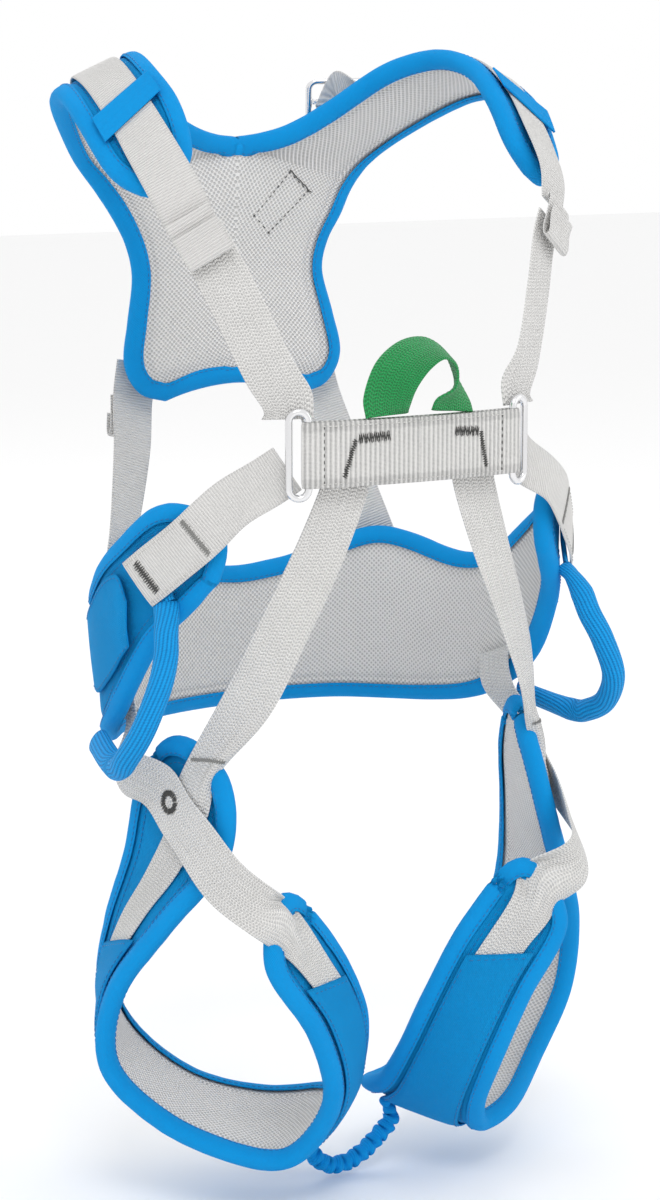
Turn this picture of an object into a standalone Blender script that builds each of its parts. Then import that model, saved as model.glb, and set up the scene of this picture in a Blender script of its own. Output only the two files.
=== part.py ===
"""Child's full-body climbing harness: back and shoulder pad, waist belt and two leg loops,
joined by webbing at two steel rings and a front bridge.

+Z is up, the wearer faces -Y, and the wearer's left is at +X. The origin is on the torso's axis.
Points are written for the wearer's left half, in millimetres on the reference torso, and are
mirrored for the right half.
"""
import bpy
import bmesh
import math
from mathutils import Vector

# ---- driving dimensions, millimetres ----
TORSO_WIDTH = 218.0          # across the belt's middle surface
TORSO_DEPTH = 172.0          # front to back of the belt's middle surface
HARNESS_HEIGHT = 490.0       # shoulder crest to the bottom of the leg loops
WEBBING_WIDTH = 22.0
WEBBING_THICK = 1.2
BRIDGE_BAND_HEIGHT = 28.0
FOAM_THICK = 4.0
FABRIC_THICK = 0.8
BINDING_REACH = 5.5          # how far the binding laps over the pad's faces
BINDING_THICK = 0.8
BINDING_EDGE = 2.6           # how far its fold stands off the pad's edge
CORD_DIAMETER = 10.6         # gear loop's braided tube
ELASTIC_DIAMETER = 9.0
RING_ROD = 3.2
RING_HEIGHT = 40.0
RING_WIDTH = 11.6
KEEPER_WIDTH = 12.5
KEEPER_THICK = 1.0
TIE_LOOP_WIDTH = 21.0
TIE_LOOP_THICK = 1.6
ADJUSTER_WIDTH = 32.0
ADJUSTER_HEIGHT = 22.0
ADJUSTER_ROD = 3.0
INNER_EASE = 0.5             # extra room on a pad's hollow side
GAP = 0.3                    # clearance between pieces that touch
SOFT_GAP = 0.6               # clearance between layers that curve over each other

# reference torso that the points are written on
REFERENCE = (218.0, 172.0, 490.0)

LINER_LIFT = -(FOAM_THICK / 2 + GAP + FABRIC_THICK / 2)
COVER_LIFT = -LINER_LIFT
COVER_TOP = COVER_LIFT + FABRIC_THICK / 2
BINDING_LIFT = COVER_TOP + SOFT_GAP + 0.2 + BINDING_THICK / 2
BINDING_TOP = BINDING_LIFT + BINDING_THICK / 2
STRAP_ON_COVER = COVER_TOP + SOFT_GAP + WEBBING_THICK / 2
STRAP_ON_BINDING = BINDING_TOP + SOFT_GAP + WEBBING_THICK / 2
SLEEVE_LIFT = STRAP_ON_COVER + 0.7 + WEBBING_THICK / 2 + SOFT_GAP + FABRIC_THICK / 2
FLAT_CORD = 2.4              # thickness of the gear loop's pressed-flat ends
FLAT_CORD_LIFT = COVER_TOP + SOFT_GAP + FLAT_CORD / 2
HIP_STRAP_LIFT = FLAT_CORD_LIFT + FLAT_CORD / 2 + SOFT_GAP + WEBBING_THICK / 2
RING_BAR = (RING_WIDTH - RING_ROD) / 2
BAR_LOOP = RING_ROD / 2 + GAP + WEBBING_THICK / 2

BLUE = (0.0, 0.27, 0.70)
BRIGHT_BLUE = (0.0, 0.36, 0.78)
MESH_GREY = (0.60, 0.58, 0.57)
FOAM_GREY = (0.25, 0.25, 0.26)
WEBBING_WHITE = (0.76, 0.75, 0.73)
LOOP_GREEN = (0.0, 0.28, 0.07)
STEEL = (0.80, 0.80, 0.82)

SIDES = (("left", 1), ("right", -1))

for old in list(bpy.data.objects):
    bpy.data.objects.remove(old)
harness = bpy.data.collections.new("climbing_harness")
bpy.context.scene.collection.children.link(harness)


def at(x, y, z):
    """A point on the reference torso, fitted to the driving sizes."""
    return Vector((x * TORSO_WIDTH / REFERENCE[0],
                   y * TORSO_DEPTH / REFERENCE[1],
                   z * HARNESS_HEIGHT / REFERENCE[2]))


def spline_at(points, place, closed=False):
    """Point on a smooth curve through the points, at a place counted in points."""
    count = len(points)
    step = int(math.floor(place))
    if not closed:
        step = min(step, count - 2)
    t = place - step

    def pick(index):
        if closed:
            return points[index % count]
        if index < 0:
            return points[0] * 2 - points[1]
        if index >= count:
            return points[-1] * 2 - points[-2]
        return points[index]

    a, b, c, d = pick(step - 1), pick(step), pick(step + 1), pick(step + 2)
    return (b * 2 + (c - a) * t + (a * 2 - b * 5 + c * 4 - d) * t * t
            + (b * 3 - a - c * 3 + d) * t ** 3) * 0.5


def smooth_route(points, per_span):
    steps = (len(points) - 1) * per_span
    return [spline_at(points, i / per_span) for i in range(steps + 1)]


def material(name, colour, rough, metal=0.0):
    found = bpy.data.materials.get(name)
    if found:
        return found
    made = bpy.data.materials.new(name)
    made.use_nodes = True
    shader = made.node_tree.nodes["Principled BSDF"]
    shader.inputs["Base Color"].default_value = (*colour, 1.0)
    shader.inputs["Roughness"].default_value = rough
    shader.inputs["Metallic"].default_value = metal
    return made


FABRIC = material("blue_fabric", BLUE, 0.8)
BINDING = material("stretch_binding", BRIGHT_BLUE, 0.75)
LINER = material("spacer_mesh", MESH_GREY, 0.9)
FOAM = material("closed_cell_foam", FOAM_GREY, 0.9)
WEBBING = material("white_webbing", WEBBING_WHITE, 0.8)
GREEN = material("green_webbing", LOOP_GREEN, 0.8)
CORD = material("braided_cord", BRIGHT_BLUE, 0.7)
METAL = material("polished_steel", STEEL, 0.15, 1.0)


def add_object(name, data, finish):
    made = bpy.data.objects.new(name, data)
    made.data.materials.append(finish)
    harness.objects.link(made)
    return made


def sheet(name, rows, finish, thick, closed=False, mirror=False):
    """A cloth piece: a grid of points in millimetres, given its thickness by Solidify."""
    mesh = bmesh.new()
    grid = [[mesh.verts.new(point / 1000) for point in row] for row in rows]
    pairs = list(zip(grid, grid[1:]))
    if closed:
        pairs.append((grid[-1], grid[0]))
    for near, far in pairs:
        for j in range(len(near) - 1):
            mesh.faces.new((near[j], near[j + 1], far[j + 1], far[j]))
    data = bpy.data.meshes.new(name)
    mesh.to_mesh(data)
    mesh.free()
    made = add_object(name, data, finish)
    if mirror:
        halves = made.modifiers.new("other_half", "MIRROR")
        halves.merge_threshold = 0.00001
        halves.use_clip = True
    wall = made.modifiers.new("thickness", "SOLIDIFY")
    wall.thickness = thick / 1000
    wall.offset = 0.0
    return made


def strap_rows(stops, width=WEBBING_WIDTH, per_span=2, closed=False):
    """Three points across a flat strap at each stop along it.

    A stop is (point, outward normal) where the strap is free, or a row of three points where it
    lies on a pad.
    """
    centres = [stop[1] if isinstance(stop, list) else stop[0] for stop in stops]
    last = len(stops) - 1
    rows = []
    for i, stop in enumerate(stops):
        if isinstance(stop, list):
            row = list(stop)
        else:
            before = centres[i - 1] if (i > 0 or closed) else centres[i]
            after = centres[(i + 1) % len(stops)] if (i < last or closed) else centres[i]
            half = (after - before).cross(stop[1]).normalized() * (width / 2)
            row = [centres[i] - half, centres[i], centres[i] + half]
        if rows and (row[2] - row[0]).dot(rows[-1][2] - rows[-1][0]) < 0:
            row.reverse()
        rows.append(row)
    if per_span > 1:
        lines = [smooth_route([row[k] for row in rows], per_span) for k in range(3)]
        rows = [list(row) for row in zip(*lines)]
    return rows


def mirrored(rows, side):
    return [[Vector((p.x * side, p.y, p.z)) for p in row] for row in rows]


def strap(name, rows, side=1, finish=WEBBING, thick=WEBBING_THICK, creased=True, closed=False):
    """A strap from its rows; one that never lies on a pad needs no crease along its middle."""
    if not creased:
        rows = [[row[0], row[2]] for row in rows]
    return sheet(name, mirrored(rows, side), finish, thick, closed=closed)


def tube(name, points, radius, finish, closed=False, sides=2):
    """A round wire or cord through points in millimetres."""
    curve = bpy.data.curves.new(name, "CURVE")
    curve.dimensions = "3D"
    curve.bevel_depth = radius / 1000
    curve.bevel_resolution = sides
    curve.use_fill_caps = not closed
    line = curve.splines.new("POLY")
    line.points.add(len(points) - 1)
    for knot, point in zip(line.points, points):
        knot.co = (*(point / 1000), 1.0)
    line.use_cyclic_u = closed
    return add_object(name, curve, finish)


def lofted_cord(name, stations, finish, sides=10):
    """A cord whose section changes: stations of (centre, wide direction, half width, half thickness)."""
    mesh = bmesh.new()
    rings = []
    last = len(stations) - 1
    for i, (centre, wide, half_width, half_thick) in enumerate(stations):
        along = (stations[min(i + 1, last)][0] - stations[max(i - 1, 0)][0]).normalized()
        across = (wide - along * wide.dot(along)).normalized()
        out = along.cross(across)
        ring = []
        for k in range(sides):
            turn = 2 * math.pi * k / sides
            offset = across * math.cos(turn) * half_width + out * math.sin(turn) * half_thick
            ring.append(mesh.verts.new((centre + offset) / 1000))
        rings.append(ring)
    for near, far in zip(rings, rings[1:]):
        for k in range(sides):
            n = (k + 1) % sides
            mesh.faces.new((near[k], near[n], far[n], far[k]))
    mesh.faces.new(rings[0][::-1])
    mesh.faces.new(rings[-1])
    bmesh.ops.recalc_face_normals(mesh, faces=mesh.faces)
    data = bpy.data.meshes.new(name)
    mesh.to_mesh(data)
    mesh.free()
    return add_object(name, data, finish)


class Pad:
    """A padded band between two edge lines, three points wide, with rounded ends.

    Rows run along the band. Each row is (low edge, middle, high edge). The outward side is the
    one that faces away from `inside`.
    """

    def __init__(self, rows, inside, mirror=False):
        self.rows = rows
        self.mirror = mirror
        self.normals = []
        last = len(rows) - 1
        for i, row in enumerate(rows):
            line = []
            for j in range(3):
                along = rows[min(i + 1, last)][j] - rows[max(i - 1, 0)][j]
                across = row[2] - row[0]
                normal = along.cross(across).normalized()
                if normal.dot(row[j] - inside) < 0:
                    normal = -normal
                if mirror and abs(row[j].x) < 1e-6:
                    normal.x = 0.0
                    normal.normalize()
                line.append(normal)
            self.normals.append(line)
        self.normals[0] = [n.copy() for n in self.normals[1]]
        self.normals[-1] = [n.copy() for n in self.normals[-2]]

    def place(self, row, across, lift=0.0):
        """Point and normal at a row number and a share of the width, lifted off the middle surface."""
        i = min(int(row), len(self.rows) - 2)
        t = row - i
        j = min(int(across * 2), 1)
        u = across * 2 - j
        point = self.rows[i][j].lerp(self.rows[i][j + 1], u).lerp(
            self.rows[i + 1][j].lerp(self.rows[i + 1][j + 1], u), t)
        normal = self.normals[i][j].lerp(self.normals[i][j + 1], u).lerp(
            self.normals[i + 1][j].lerp(self.normals[i + 1][j + 1], u), t).normalized()
        return point + normal * lift, normal

    def layer(self, name, lift, thick, finish):
        rows = [[p + n * lift for p, n in zip(row, line)]
                for row, line in zip(self.rows, self.normals)]
        return sheet(name, rows, finish, thick, mirror=self.mirror)

    def laid(self, row, across, lift, turn=0.0, width=WEBBING_WIDTH):
        """Three points of a strap lying over the pad, centred at a row and a share of the width.

        `turn` is how far the strap's cross direction is turned away from the row.
        """
        spread = self.place(row, 0.98)[0] - self.place(row, 0.02)[0]
        pitch = self.place(row + 0.5, across)[0] - self.place(row - 0.5, across)[0]
        half = width / 2 * 0.96 * math.cos(turn) / spread.length
        step_rows = width / 2 * math.sin(turn) / pitch.length
        return [self.place(row + step * step_rows, across + step * half, lift)[0]
                for step in (-1, 0, 1)]

    def rim(self):
        """The outline's points, each with the next point inward, from end to end of the outline."""
        last = len(self.rows) - 1
        if self.mirror:
            neck = [i for i in range(last + 1) if abs(self.rows[i][0].x) < 1e-6][-1]
            knots = [((0, 0), (1, 0)), ((0, 1), (1, 1)), ((0, 2), (1, 1))]
            knots += [((i, 2), (i, 1)) for i in range(1, last)]
            knots += [((last, 2), (last - 1, 1)), ((last, 1), (last - 1, 1))]
            knots += [((last, 0), (last - 1, 1))]
            knots += [((i, 0), (i, 1)) for i in range(last - 1, neck + 3, -1)]
            knots += [((i, 0), (i - 1, 1)) for i in range(neck + 3, neck, -1)]
            knots += [((neck, 0), (neck - 1, 0))]
            return knots
        knots = [((0, 0), (1, 1))] + [((i, 0), (i, 1)) for i in range(1, last)]
        knots += [((last, 0), (last - 1, 1)), ((last, 1), (last - 1, 1))]
        knots += [((last, 2), (last - 1, 1))]
        knots += [((i, 2), (i, 1)) for i in range(last - 1, 0, -1)]
        knots += [((0, 2), (1, 1)), ((0, 1), (1, 1))]
        return knots

    def binding(self, name, finish):
        """The channel of stretch tape that is sewn round the outline."""
        rim = self.rim()
        count = len(rim)
        closed = not self.mirror
        spots = [self.rows[i][j] for (i, j), inner in rim]
        rows = []
        for k, ((i, j), (m, n)) in enumerate(rim):
            point, normal = self.rows[i][j], self.normals[i][j]
            inward = self.rows[m][n] - point
            before = spots[k - 1] if (k > 0 or closed) else point
            after = spots[(k + 1) % count] if (k < count - 1 or closed) else point
            along = after - before
            if not closed and k in (0, count - 1):
                along = Vector((1, 0, 0))
            outward = along.cross(normal).normalized()
            if outward.dot(inward) > 0:
                outward = -outward
            along.normalize()
            square = inward - along * inward.dot(along)
            at_neck = self.mirror and j == 0 and m < i
            reach = BINDING_REACH * (0.6 if at_neck else 1.0)
            lap_lift = BINDING_LIFT + (0.4 if at_neck else 0.0)
            share = min(reach / square.length, 0.5)
            lap = point + square * share
            lap_normal = normal.lerp(self.normals[m][n], share).normalized()
            edge = point + outward * BINDING_EDGE
            rows.append([lap + lap_normal * lap_lift, edge + normal * (BINDING_LIFT * 0.92),
                         edge - normal * (BINDING_LIFT * 0.96),
                         lap - lap_normal * (BINDING_LIFT + INNER_EASE)])
        return sheet(name, rows, finish, BINDING_THICK, closed=closed, mirror=self.mirror)


def build_pad(pad, name):
    pad.layer(name + "_mesh_liner", LINER_LIFT, FABRIC_THICK, LINER)
    pad.layer(name + "_foam", 0.0, FOAM_THICK, FOAM)
    pad.layer(name + "_cover", COVER_LIFT, FABRIC_THICK, FABRIC)
    pad.binding(name + "_binding", BINDING)


# ---- back and shoulder pad: one piece, lobes at the bottom, arms over the shoulders ----
# rows from the bottom edge up and over: inner line (spine, then neck edge) and outer line
BACK_INNER = [at(0, 90, 92.5), at(0, 91, 98), at(0, 92, 109), at(0, 93, 125), at(0, 93, 142),
              at(0, 92, 158), at(0, 90, 176), at(0, 87, 201), at(22, 82, 205), at(42, 75, 216),
              at(61, 61, 232), at(73, 46, 239), at(79, 30, 240), at(82, 12, 235), at(81, -7, 222),
              at(82, -20, 204), at(89, -24.5, 192)]
BACK_OUTER = [at(37, 89, 86), at(48, 90, 90), at(54, 90, 102), at(51, 92, 120), at(47, 95, 140),
              at(50, 95, 155), at(57, 94, 168), at(65, 96, 181), at(76, 94, 194), at(88, 82, 206),
              at(103, 61, 219), at(110, 45, 224), at(114, 28, 224), at(115, 10, 214),
              at(112, -6, 198), at(108, -13, 191), at(102, -18.5, 187)]
BACK_TIP = at(95, -23.5, 187)
BACK_FRONT_ROW = 10           # from this row on the arms lie over the shoulders

rows = []
for step in range(2 * (len(BACK_INNER) - 1) + 1):
    if step in (1, 3):
        continue
    inner = spline_at(BACK_INNER, step / 2)
    if step / 2 < 7:
        inner.x = 0.0
    outer = spline_at(BACK_OUTER, step / 2)
    rows.append([inner, (inner + outer) / 2, outer])
rows[-1][1] = BACK_TIP
ARM_ROWS = len(rows) - 1
back_pad = Pad(rows, at(0, 0, 150), mirror=True)
build_pad(back_pad, "back_pad")

# ---- waist belt: a band round the hips, high at the back straps and at the front lobes ----
BELT_PLAN = [at(0, 86, 0), at(35, 81.5, 0), at(66, 69, 0), at(90, 48, 0), at(105, 22, 0),
             at(109, -4, 0), at(102, -26, 0), at(88, -43, 0), at(72, -55, 0)]
# (place along the plan line, height of the lower edge, height of the upper edge)
BELT_EDGES = ((0.0, -60, 0), (0.8, -60, 4), (1.4, -60, 12), (2.0, -61, 18), (2.6, -61, 13),
              (3.1, -60, 6.5), (3.6, -58, 5.5), (4.05, -53, 11), (4.6, -44, 24), (5.0, -35, 31),
              (5.35, -25, 37), (5.75, -12, 46), (6.15, -1, 52), (6.6, 8, 53), (7.0, 17, 50),
              (7.25, 25, 46))
BELT_TIP = (7.42, 37)
BELT_LEAN = 6.0              # how far the sides come in at the lower edge


def belt_point(place, height):
    spot = spline_at(BELT_PLAN, abs(place))
    lift = at(0, 0, height).z
    share = min(max((abs(place) - 1.8) / 1.6, 0.0), 1.0)
    spot.x -= BELT_LEAN * max(-height, 0.0) / 60 * share * share * (3 - 2 * share)
    return Vector((math.copysign(spot.x, place) if place else 0.0, spot.y, lift))


def belt_edge(place, column):
    """Height of the lower (1) or upper (2) edge at a place along the plan line."""
    for near, far in zip(BELT_EDGES, BELT_EDGES[1:]):
        if near[0] <= place <= far[0]:
            share = (place - near[0]) / (far[0] - near[0])
            return near[column] + (far[column] - near[column]) * share
    return BELT_EDGES[-1][column]


places = []
for near, far in zip(BELT_EDGES, BELT_EDGES[1:]):
    places.append(near[0])
    if far[0] - near[0] > 0.55:
        places.append((near[0] + far[0]) / 2)
places.append(BELT_EDGES[-1][0])
BELT_PLACES = [-p for p in places[:0:-1]] + places
rows = []
for place in BELT_PLACES:
    low = belt_point(place, belt_edge(abs(place), 1))
    high = belt_point(place, belt_edge(abs(place), 2))
    rows.append([low, (low + high) / 2, high])
rows[0][1] = belt_point(-BELT_TIP[0], BELT_TIP[1])
rows[-1][1] = belt_point(*BELT_TIP)
belt = Pad(rows, at(0, 0, 0))
build_pad(belt, "belt")


def on_belt(place, height, lift):
    """A point and normal over the belt at a place along its plan line, for the left half."""
    spot = belt_point(place, height)
    step = 0.05
    along = belt_point(place + step, height) - belt_point(place - step, height)
    normal = along.cross(Vector((0, 0, 1))).normalized()
    if normal.dot(spot) < 0:
        normal = -normal
    return spot + normal * lift, normal


# ---- leg loops: a band that hangs like a U, from the outer thigh under and up to the inner ----
LEG_FRONT = [at(88, -19, -52), at(79, -45, -66), at(84, -53, -97), at(103, -37, -128),
             at(120, -21, -160), at(121, -14, -195), at(99, -23, -222), at(73, -42, -236),
             at(52, -50, -240), at(42, -62, -225), at(42, -75, -202), at(54, -80, -172),
             at(74, -79, -140), at(61, -67, -115)]
LEG_REAR = [at(88, -19, -52), at(95, -1, -74), at(99, 4, -104), at(104, 15, -139),
            at(101, 27, -171), at(85, 30, -198), at(62, 18, -218), at(35, 3, -226),
            at(13, -12, -224), at(10, -32, -216), at(12, -46, -198), at(18, -57, -172),
            at(36, -62, -139), at(61, -67, -115)]
LEG_HEART = at(62, -20, -150)
leg_ring = LEG_FRONT + LEG_REAR[-2:0:-1]
LEG_LAST = len(LEG_FRONT) - 1
# places along the band, in points, where a row is made
LEG_PLACES = [0.3, 0.62, 1.0, 1.5, 2.0, 2.4, 2.8] + [2.8 + 0.5 * k for k in range(1, 19)]
LEG_PLACES = [p for p in LEG_PLACES if p < LEG_LAST - 0.9] + [LEG_LAST - 0.6, LEG_LAST - 0.3]

leg_pads = {}
for side_name, side in SIDES:
    rows = []
    for place in LEG_PLACES:
        low = spline_at(leg_ring, place, closed=True)
        high = spline_at(leg_ring, 2 * LEG_LAST - place, closed=True)
        rows.append([low, (low + high) / 2, high])
    rows[0][1] = LEG_FRONT[0].copy()
    rows[-1][1] = LEG_FRONT[-1].copy()
    rows = [[Vector((p.x * side, p.y, p.z)) for p in row] for row in rows]
    heart = Vector((LEG_HEART.x * side, LEG_HEART.y, LEG_HEART.z))
    leg_pads[side_name] = Pad(rows, heart)
    build_pad(leg_pads[side_name], side_name + "_leg_pad")


def leg_row(place):
    """Row number of a place along the leg band."""
    for i, (near, far) in enumerate(zip(LEG_PLACES, LEG_PLACES[1:])):
        if near <= place <= far:
            return i + (place - near) / (far - near)
    return len(LEG_PLACES) - 1.0


# ---- outer sleeve of each leg pad, which the thigh webbing runs under ----
SLEEVE_FROM, SLEEVE_TO = 3.3, 11.55
SLEEVE_COLUMNS = ((0.17, BINDING_LIFT), (0.26, SLEEVE_LIFT), (0.5, SLEEVE_LIFT),
                  (0.74, SLEEVE_LIFT), (0.83, BINDING_LIFT))

for side_name, side in SIDES:
    pad = leg_pads[side_name]
    places = [SLEEVE_FROM] + [p for p in LEG_PLACES if SLEEVE_FROM < p < SLEEVE_TO] + [SLEEVE_TO]
    rows = [[pad.place(leg_row(p), v, lift)[0] for v, lift in SLEEVE_COLUMNS] for p in places]
    sheet(side_name + "_leg_sleeve", rows, FABRIC, FABRIC_THICK)

# ---- steel rings, in the bridge's end loops ----
RING_CENTRE = at(55, -69, 77)
RING_TURN = math.radians(21)
RING_OUT = Vector((math.cos(RING_TURN), math.sin(RING_TURN), 0))
RING_FACE = Vector((math.sin(RING_TURN), -math.cos(RING_TURN), 0))
UP = Vector((0, 0, 1))

for side_name, side in SIDES:
    straight = RING_HEIGHT / 2 - RING_WIDTH / 2
    points = []
    for end in (1, -1):
        for k in range(9):
            turn = math.pi * k / 8
            offset = (RING_OUT * (math.cos(turn) * RING_BAR * end)
                      + UP * (end * (straight + math.sin(turn) * RING_BAR)))
            points.append(RING_CENTRE + offset)
    points = [Vector((p.x * side, p.y, p.z)) for p in points]
    tube(side_name + "_ring", points, RING_ROD / 2, METAL, closed=True)

# ---- bridge: a flat loop of webbing that turns round each ring's inner bar ----
inner_bar = RING_CENTRE - RING_OUT * RING_BAR
BRIDGE_BOW = at(0, -4, 0).y            # how far the middle stands in front of the ends
half = []
for k in range(7):
    share = k / 6
    x = inner_bar.x * share
    y = inner_bar.y + BRIDGE_BOW * (1 - share * share)
    half.append((Vector((x, y, inner_bar.z)), share))
route = []
for spot, share in half[:-1]:
    lean = Vector((0.25 * share, -1, 0)).normalized()
    route.append((spot + lean * BAR_LOOP, lean))
for k in range(7):
    turn = math.pi * k / 6
    lean = Vector((math.sin(turn) + 0.2 * math.cos(turn), -math.cos(turn), 0)).normalized()
    route.append((inner_bar + lean * BAR_LOOP, lean))
for spot, share in half[-2::-1]:
    lean = Vector((-0.25 * share, 1, 0)).normalized()
    route.append((spot + lean * BAR_LOOP, lean))
other = [(Vector((-p.x, p.y, p.z)), Vector((-n.x, n.y, n.z))) for p, n in route[-2:0:-1]]
strap("bridge_band", strap_rows(route + other, BRIDGE_BAND_HEIGHT, per_span=1, closed=True),
      creased=False, closed=True)
BRIDGE_TOP = inner_bar.z + BRIDGE_BAND_HEIGHT / 2
BRIDGE_FRONT = inner_bar.y + BRIDGE_BOW

# ---- green tie-in loop on the bridge, with its tails sewn between the bridge's plies ----
FRONT = Vector((0, -1, 0))
LOOP_BASE = 1.2                        # height of the loop's foot over the bridge
foot = BRIDGE_TOP + LOOP_BASE


def bridge_front(x):
    share = abs(x) / inner_bar.x
    return inner_bar.y + BRIDGE_BOW * (1 - share * share)


LOOP_STOPS = ((-15, 0.0, 0, (0, -1, 0)), (-15.5, -0.5, 6, (-0.25, -0.97, 0)),
              (-11, -1, 17, (-0.6, -0.75, 0.25)), (-2, -1, 25, (-0.45, -0.55, 0.7)),
              (8, -1, 27.5, (0.05, -0.35, 0.93)), (16, -1, 22, (0.7, -0.35, 0.6)),
              (19, -0.5, 12, (0.8, -0.55, 0.1)), (18, 0, 5, (0.3, -0.95, 0)),
              (17.5, 0, 0, (0, -1, 0)))
stops = [(Vector((x, BRIDGE_FRONT + y, foot + z)), Vector(normal)) for x, y, z, normal in LOOP_STOPS]
strap("tie_in_loop", strap_rows(stops, TIE_LOOP_WIDTH, per_span=3), finish=GREEN,
      thick=TIE_LOOP_THICK, creased=False)
for tail_name, x in (("tie_in_loop_tail_right", -15.0), ("tie_in_loop_tail_left", 17.5)):
    stops = [(Vector((x, bridge_front(x), BRIDGE_TOP - 0.5)), FRONT),
             (Vector((x, bridge_front(x), BRIDGE_TOP - 12)), FRONT)]
    strap(tail_name, strap_rows(stops, TIE_LOOP_WIDTH, per_span=1), finish=GREEN,
          thick=TIE_LOOP_THICK, creased=False)

# ---- shoulder straps: over the pad, under the keeper, down to the ring ----
ARM_MIDDLE = 0.5
outer_bar = RING_CENTRE + RING_OUT * RING_BAR
BEHIND_RING = RING_ROD / 2 + SOFT_GAP + WEBBING_THICK / 2
FRONT_OUT = Vector((0.5, -0.86, 0)).normalized()
SHOULDER_FREE = [at(91, -39.5, 176), at(83, -45, 160), at(75, -53, 139), at(65, -61, 113)]
# (row, lift above lying on the cover)
SHOULDER_STRAP_ROWS = ((ARM_ROWS - 13, 1.6), (ARM_ROWS - 12, 1.0), (ARM_ROWS - 11, 0.6),
                       (ARM_ROWS - 9, 0.4), (ARM_ROWS - 7, 0.3), (ARM_ROWS - 5, 0.3),
                       (ARM_ROWS - 3, 1.8))
OVER_TIP = at(95.5, -32.5, 190)

# ---- rear adjusters: a steel frame with a middle bar, which it tilts about ----
ADJUSTER_CENTRE = at(61, 97, 219)
ADJUSTER_ACROSS = Vector((0.92, -0.38, 0)).normalized()
ADJUSTER_UP = Vector((0.10, -0.12, 0.98))
ADJUSTER_UP = (ADJUSTER_UP - ADJUSTER_ACROSS * ADJUSTER_UP.dot(ADJUSTER_ACROSS)).normalized()
ADJUSTER_OUT = ADJUSTER_UP.cross(ADJUSTER_ACROSS).normalized()
if ADJUSTER_OUT.y < 0:
    ADJUSTER_OUT = -ADJUSTER_OUT
adjuster_turn = ADJUSTER_ROD / 2 + SOFT_GAP + WEBBING_THICK / 2

for side_name, side in SIDES:
    rod = ADJUSTER_ROD / 2
    half_wide = ADJUSTER_WIDTH / 2 - rod
    half_tall = ADJUSTER_HEIGHT / 2 - rod
    corner = 4.0
    points = []
    for quarter in range(4):
        signs = ((1, 1), (-1, 1), (-1, -1), (1, -1))[quarter]
        for k in range(4):
            turn = math.pi / 2 * (quarter + k / 3)
            a = signs[0] * (half_wide - corner) + math.cos(turn) * corner
            b = signs[1] * (half_tall - corner) + math.sin(turn) * corner
            points.append(ADJUSTER_CENTRE + ADJUSTER_ACROSS * a + ADJUSTER_UP * b)
    points = [Vector((p.x * side, p.y, p.z)) for p in points]
    tube(side_name + "_adjuster_frame", points, rod, METAL, closed=True)
    reach = half_wide - rod - GAP
    bar = [ADJUSTER_CENTRE + ADJUSTER_ACROSS * reach, ADJUSTER_CENTRE - ADJUSTER_ACROSS * reach]
    bar = [Vector((p.x * side, p.y, p.z)) for p in bar]
    tube(side_name + "_adjuster_bar", bar, rod, METAL)

    # upper webbing: from round the adjuster's bar, over the crest and down in front
    stops = []
    for k in range(4, -1, -1):
        turn = math.pi * k / 4
        lean = -ADJUSTER_OUT * math.cos(turn) - ADJUSTER_UP * math.sin(turn)
        stops.append((ADJUSTER_CENTRE + lean * adjuster_turn, -lean))
    stops.append((ADJUSTER_CENTRE + ADJUSTER_UP * 4 - ADJUSTER_OUT * 5, ADJUSTER_OUT))
    for row, extra in SHOULDER_STRAP_ROWS:
        stops.append(back_pad.laid(row, ARM_MIDDLE, STRAP_ON_COVER + extra))
    stops.append((OVER_TIP, Vector((0.5, -0.82, 0.28)).normalized()))
    stops.append((SHOULDER_FREE[0], FRONT_OUT))
    strap(side_name + "_shoulder_strap", strap_rows(stops), side)

    # lower webbing: from the fold down to the back of the ring
    down = (SHOULDER_FREE[1] - SHOULDER_FREE[0]).normalized()
    ring_top = outer_bar + UP * (RING_HEIGHT / 2 - 5) - RING_FACE * (BEHIND_RING + 0.4)
    stops = [(SHOULDER_FREE[0] + down * 7.0, FRONT_OUT)]
    stops += [(point, FRONT_OUT) for point in SHOULDER_FREE[1:]]
    stops += [(ring_top + UP * 8 - RING_FACE * 1.2, RING_FACE), (ring_top, RING_FACE)]
    strap(side_name + "_lower_shoulder_strap", strap_rows(stops), side, creased=False)

    # sewn fold tab: the strap end doubled back on itself
    outward = (FRONT_OUT - down * FRONT_OUT.dot(down)).normalized()
    fold = ((1.0, 2.0), (-1.0, 2.9), (1.0, 3.9), (8.0, 3.9), (15.0, 3.7), (19.0, 4.7),
            (19.5, 6.3), (17.0, 7.2), (10.0, 6.3), (5.0, 6.7))
    stops = []
    for i, (a, b) in enumerate(fold):
        before, after = fold[max(i - 1, 0)], fold[min(i + 1, len(fold) - 1)]
        along = down * (after[0] - before[0]) + outward * (after[1] - before[1])
        stops.append((SHOULDER_FREE[0] + down * a + outward * b,
                      along.cross(down.cross(outward)).normalized()))
    strap(side_name + "_strap_fold", strap_rows(stops, WEBBING_WIDTH - 0.6), side,
          thick=WEBBING_THICK - 0.2, creased=False)

# ---- elastic keeper across each shoulder flap ----
KEEPER_LIFT = STRAP_ON_COVER + 0.5 + WEBBING_THICK / 2 + SOFT_GAP + KEEPER_THICK / 2
row_step = KEEPER_WIDTH / 2 / (back_pad.place(ARM_ROWS - 4, 0.5)[0]
                               - back_pad.place(ARM_ROWS - 5, 0.5)[0]).length
for side_name, side in SIDES:
    rows = []
    for across in (0.07, 0.3, 0.5, 0.7, 0.93):
        rows.append([back_pad.place(ARM_ROWS - 5 + step * row_step, across, KEEPER_LIFT)[0]
                     for step in (-1, 0, 1)])
    sheet(side_name + "_keeper", mirrored(rows, side), BINDING, KEEPER_THICK)

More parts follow.
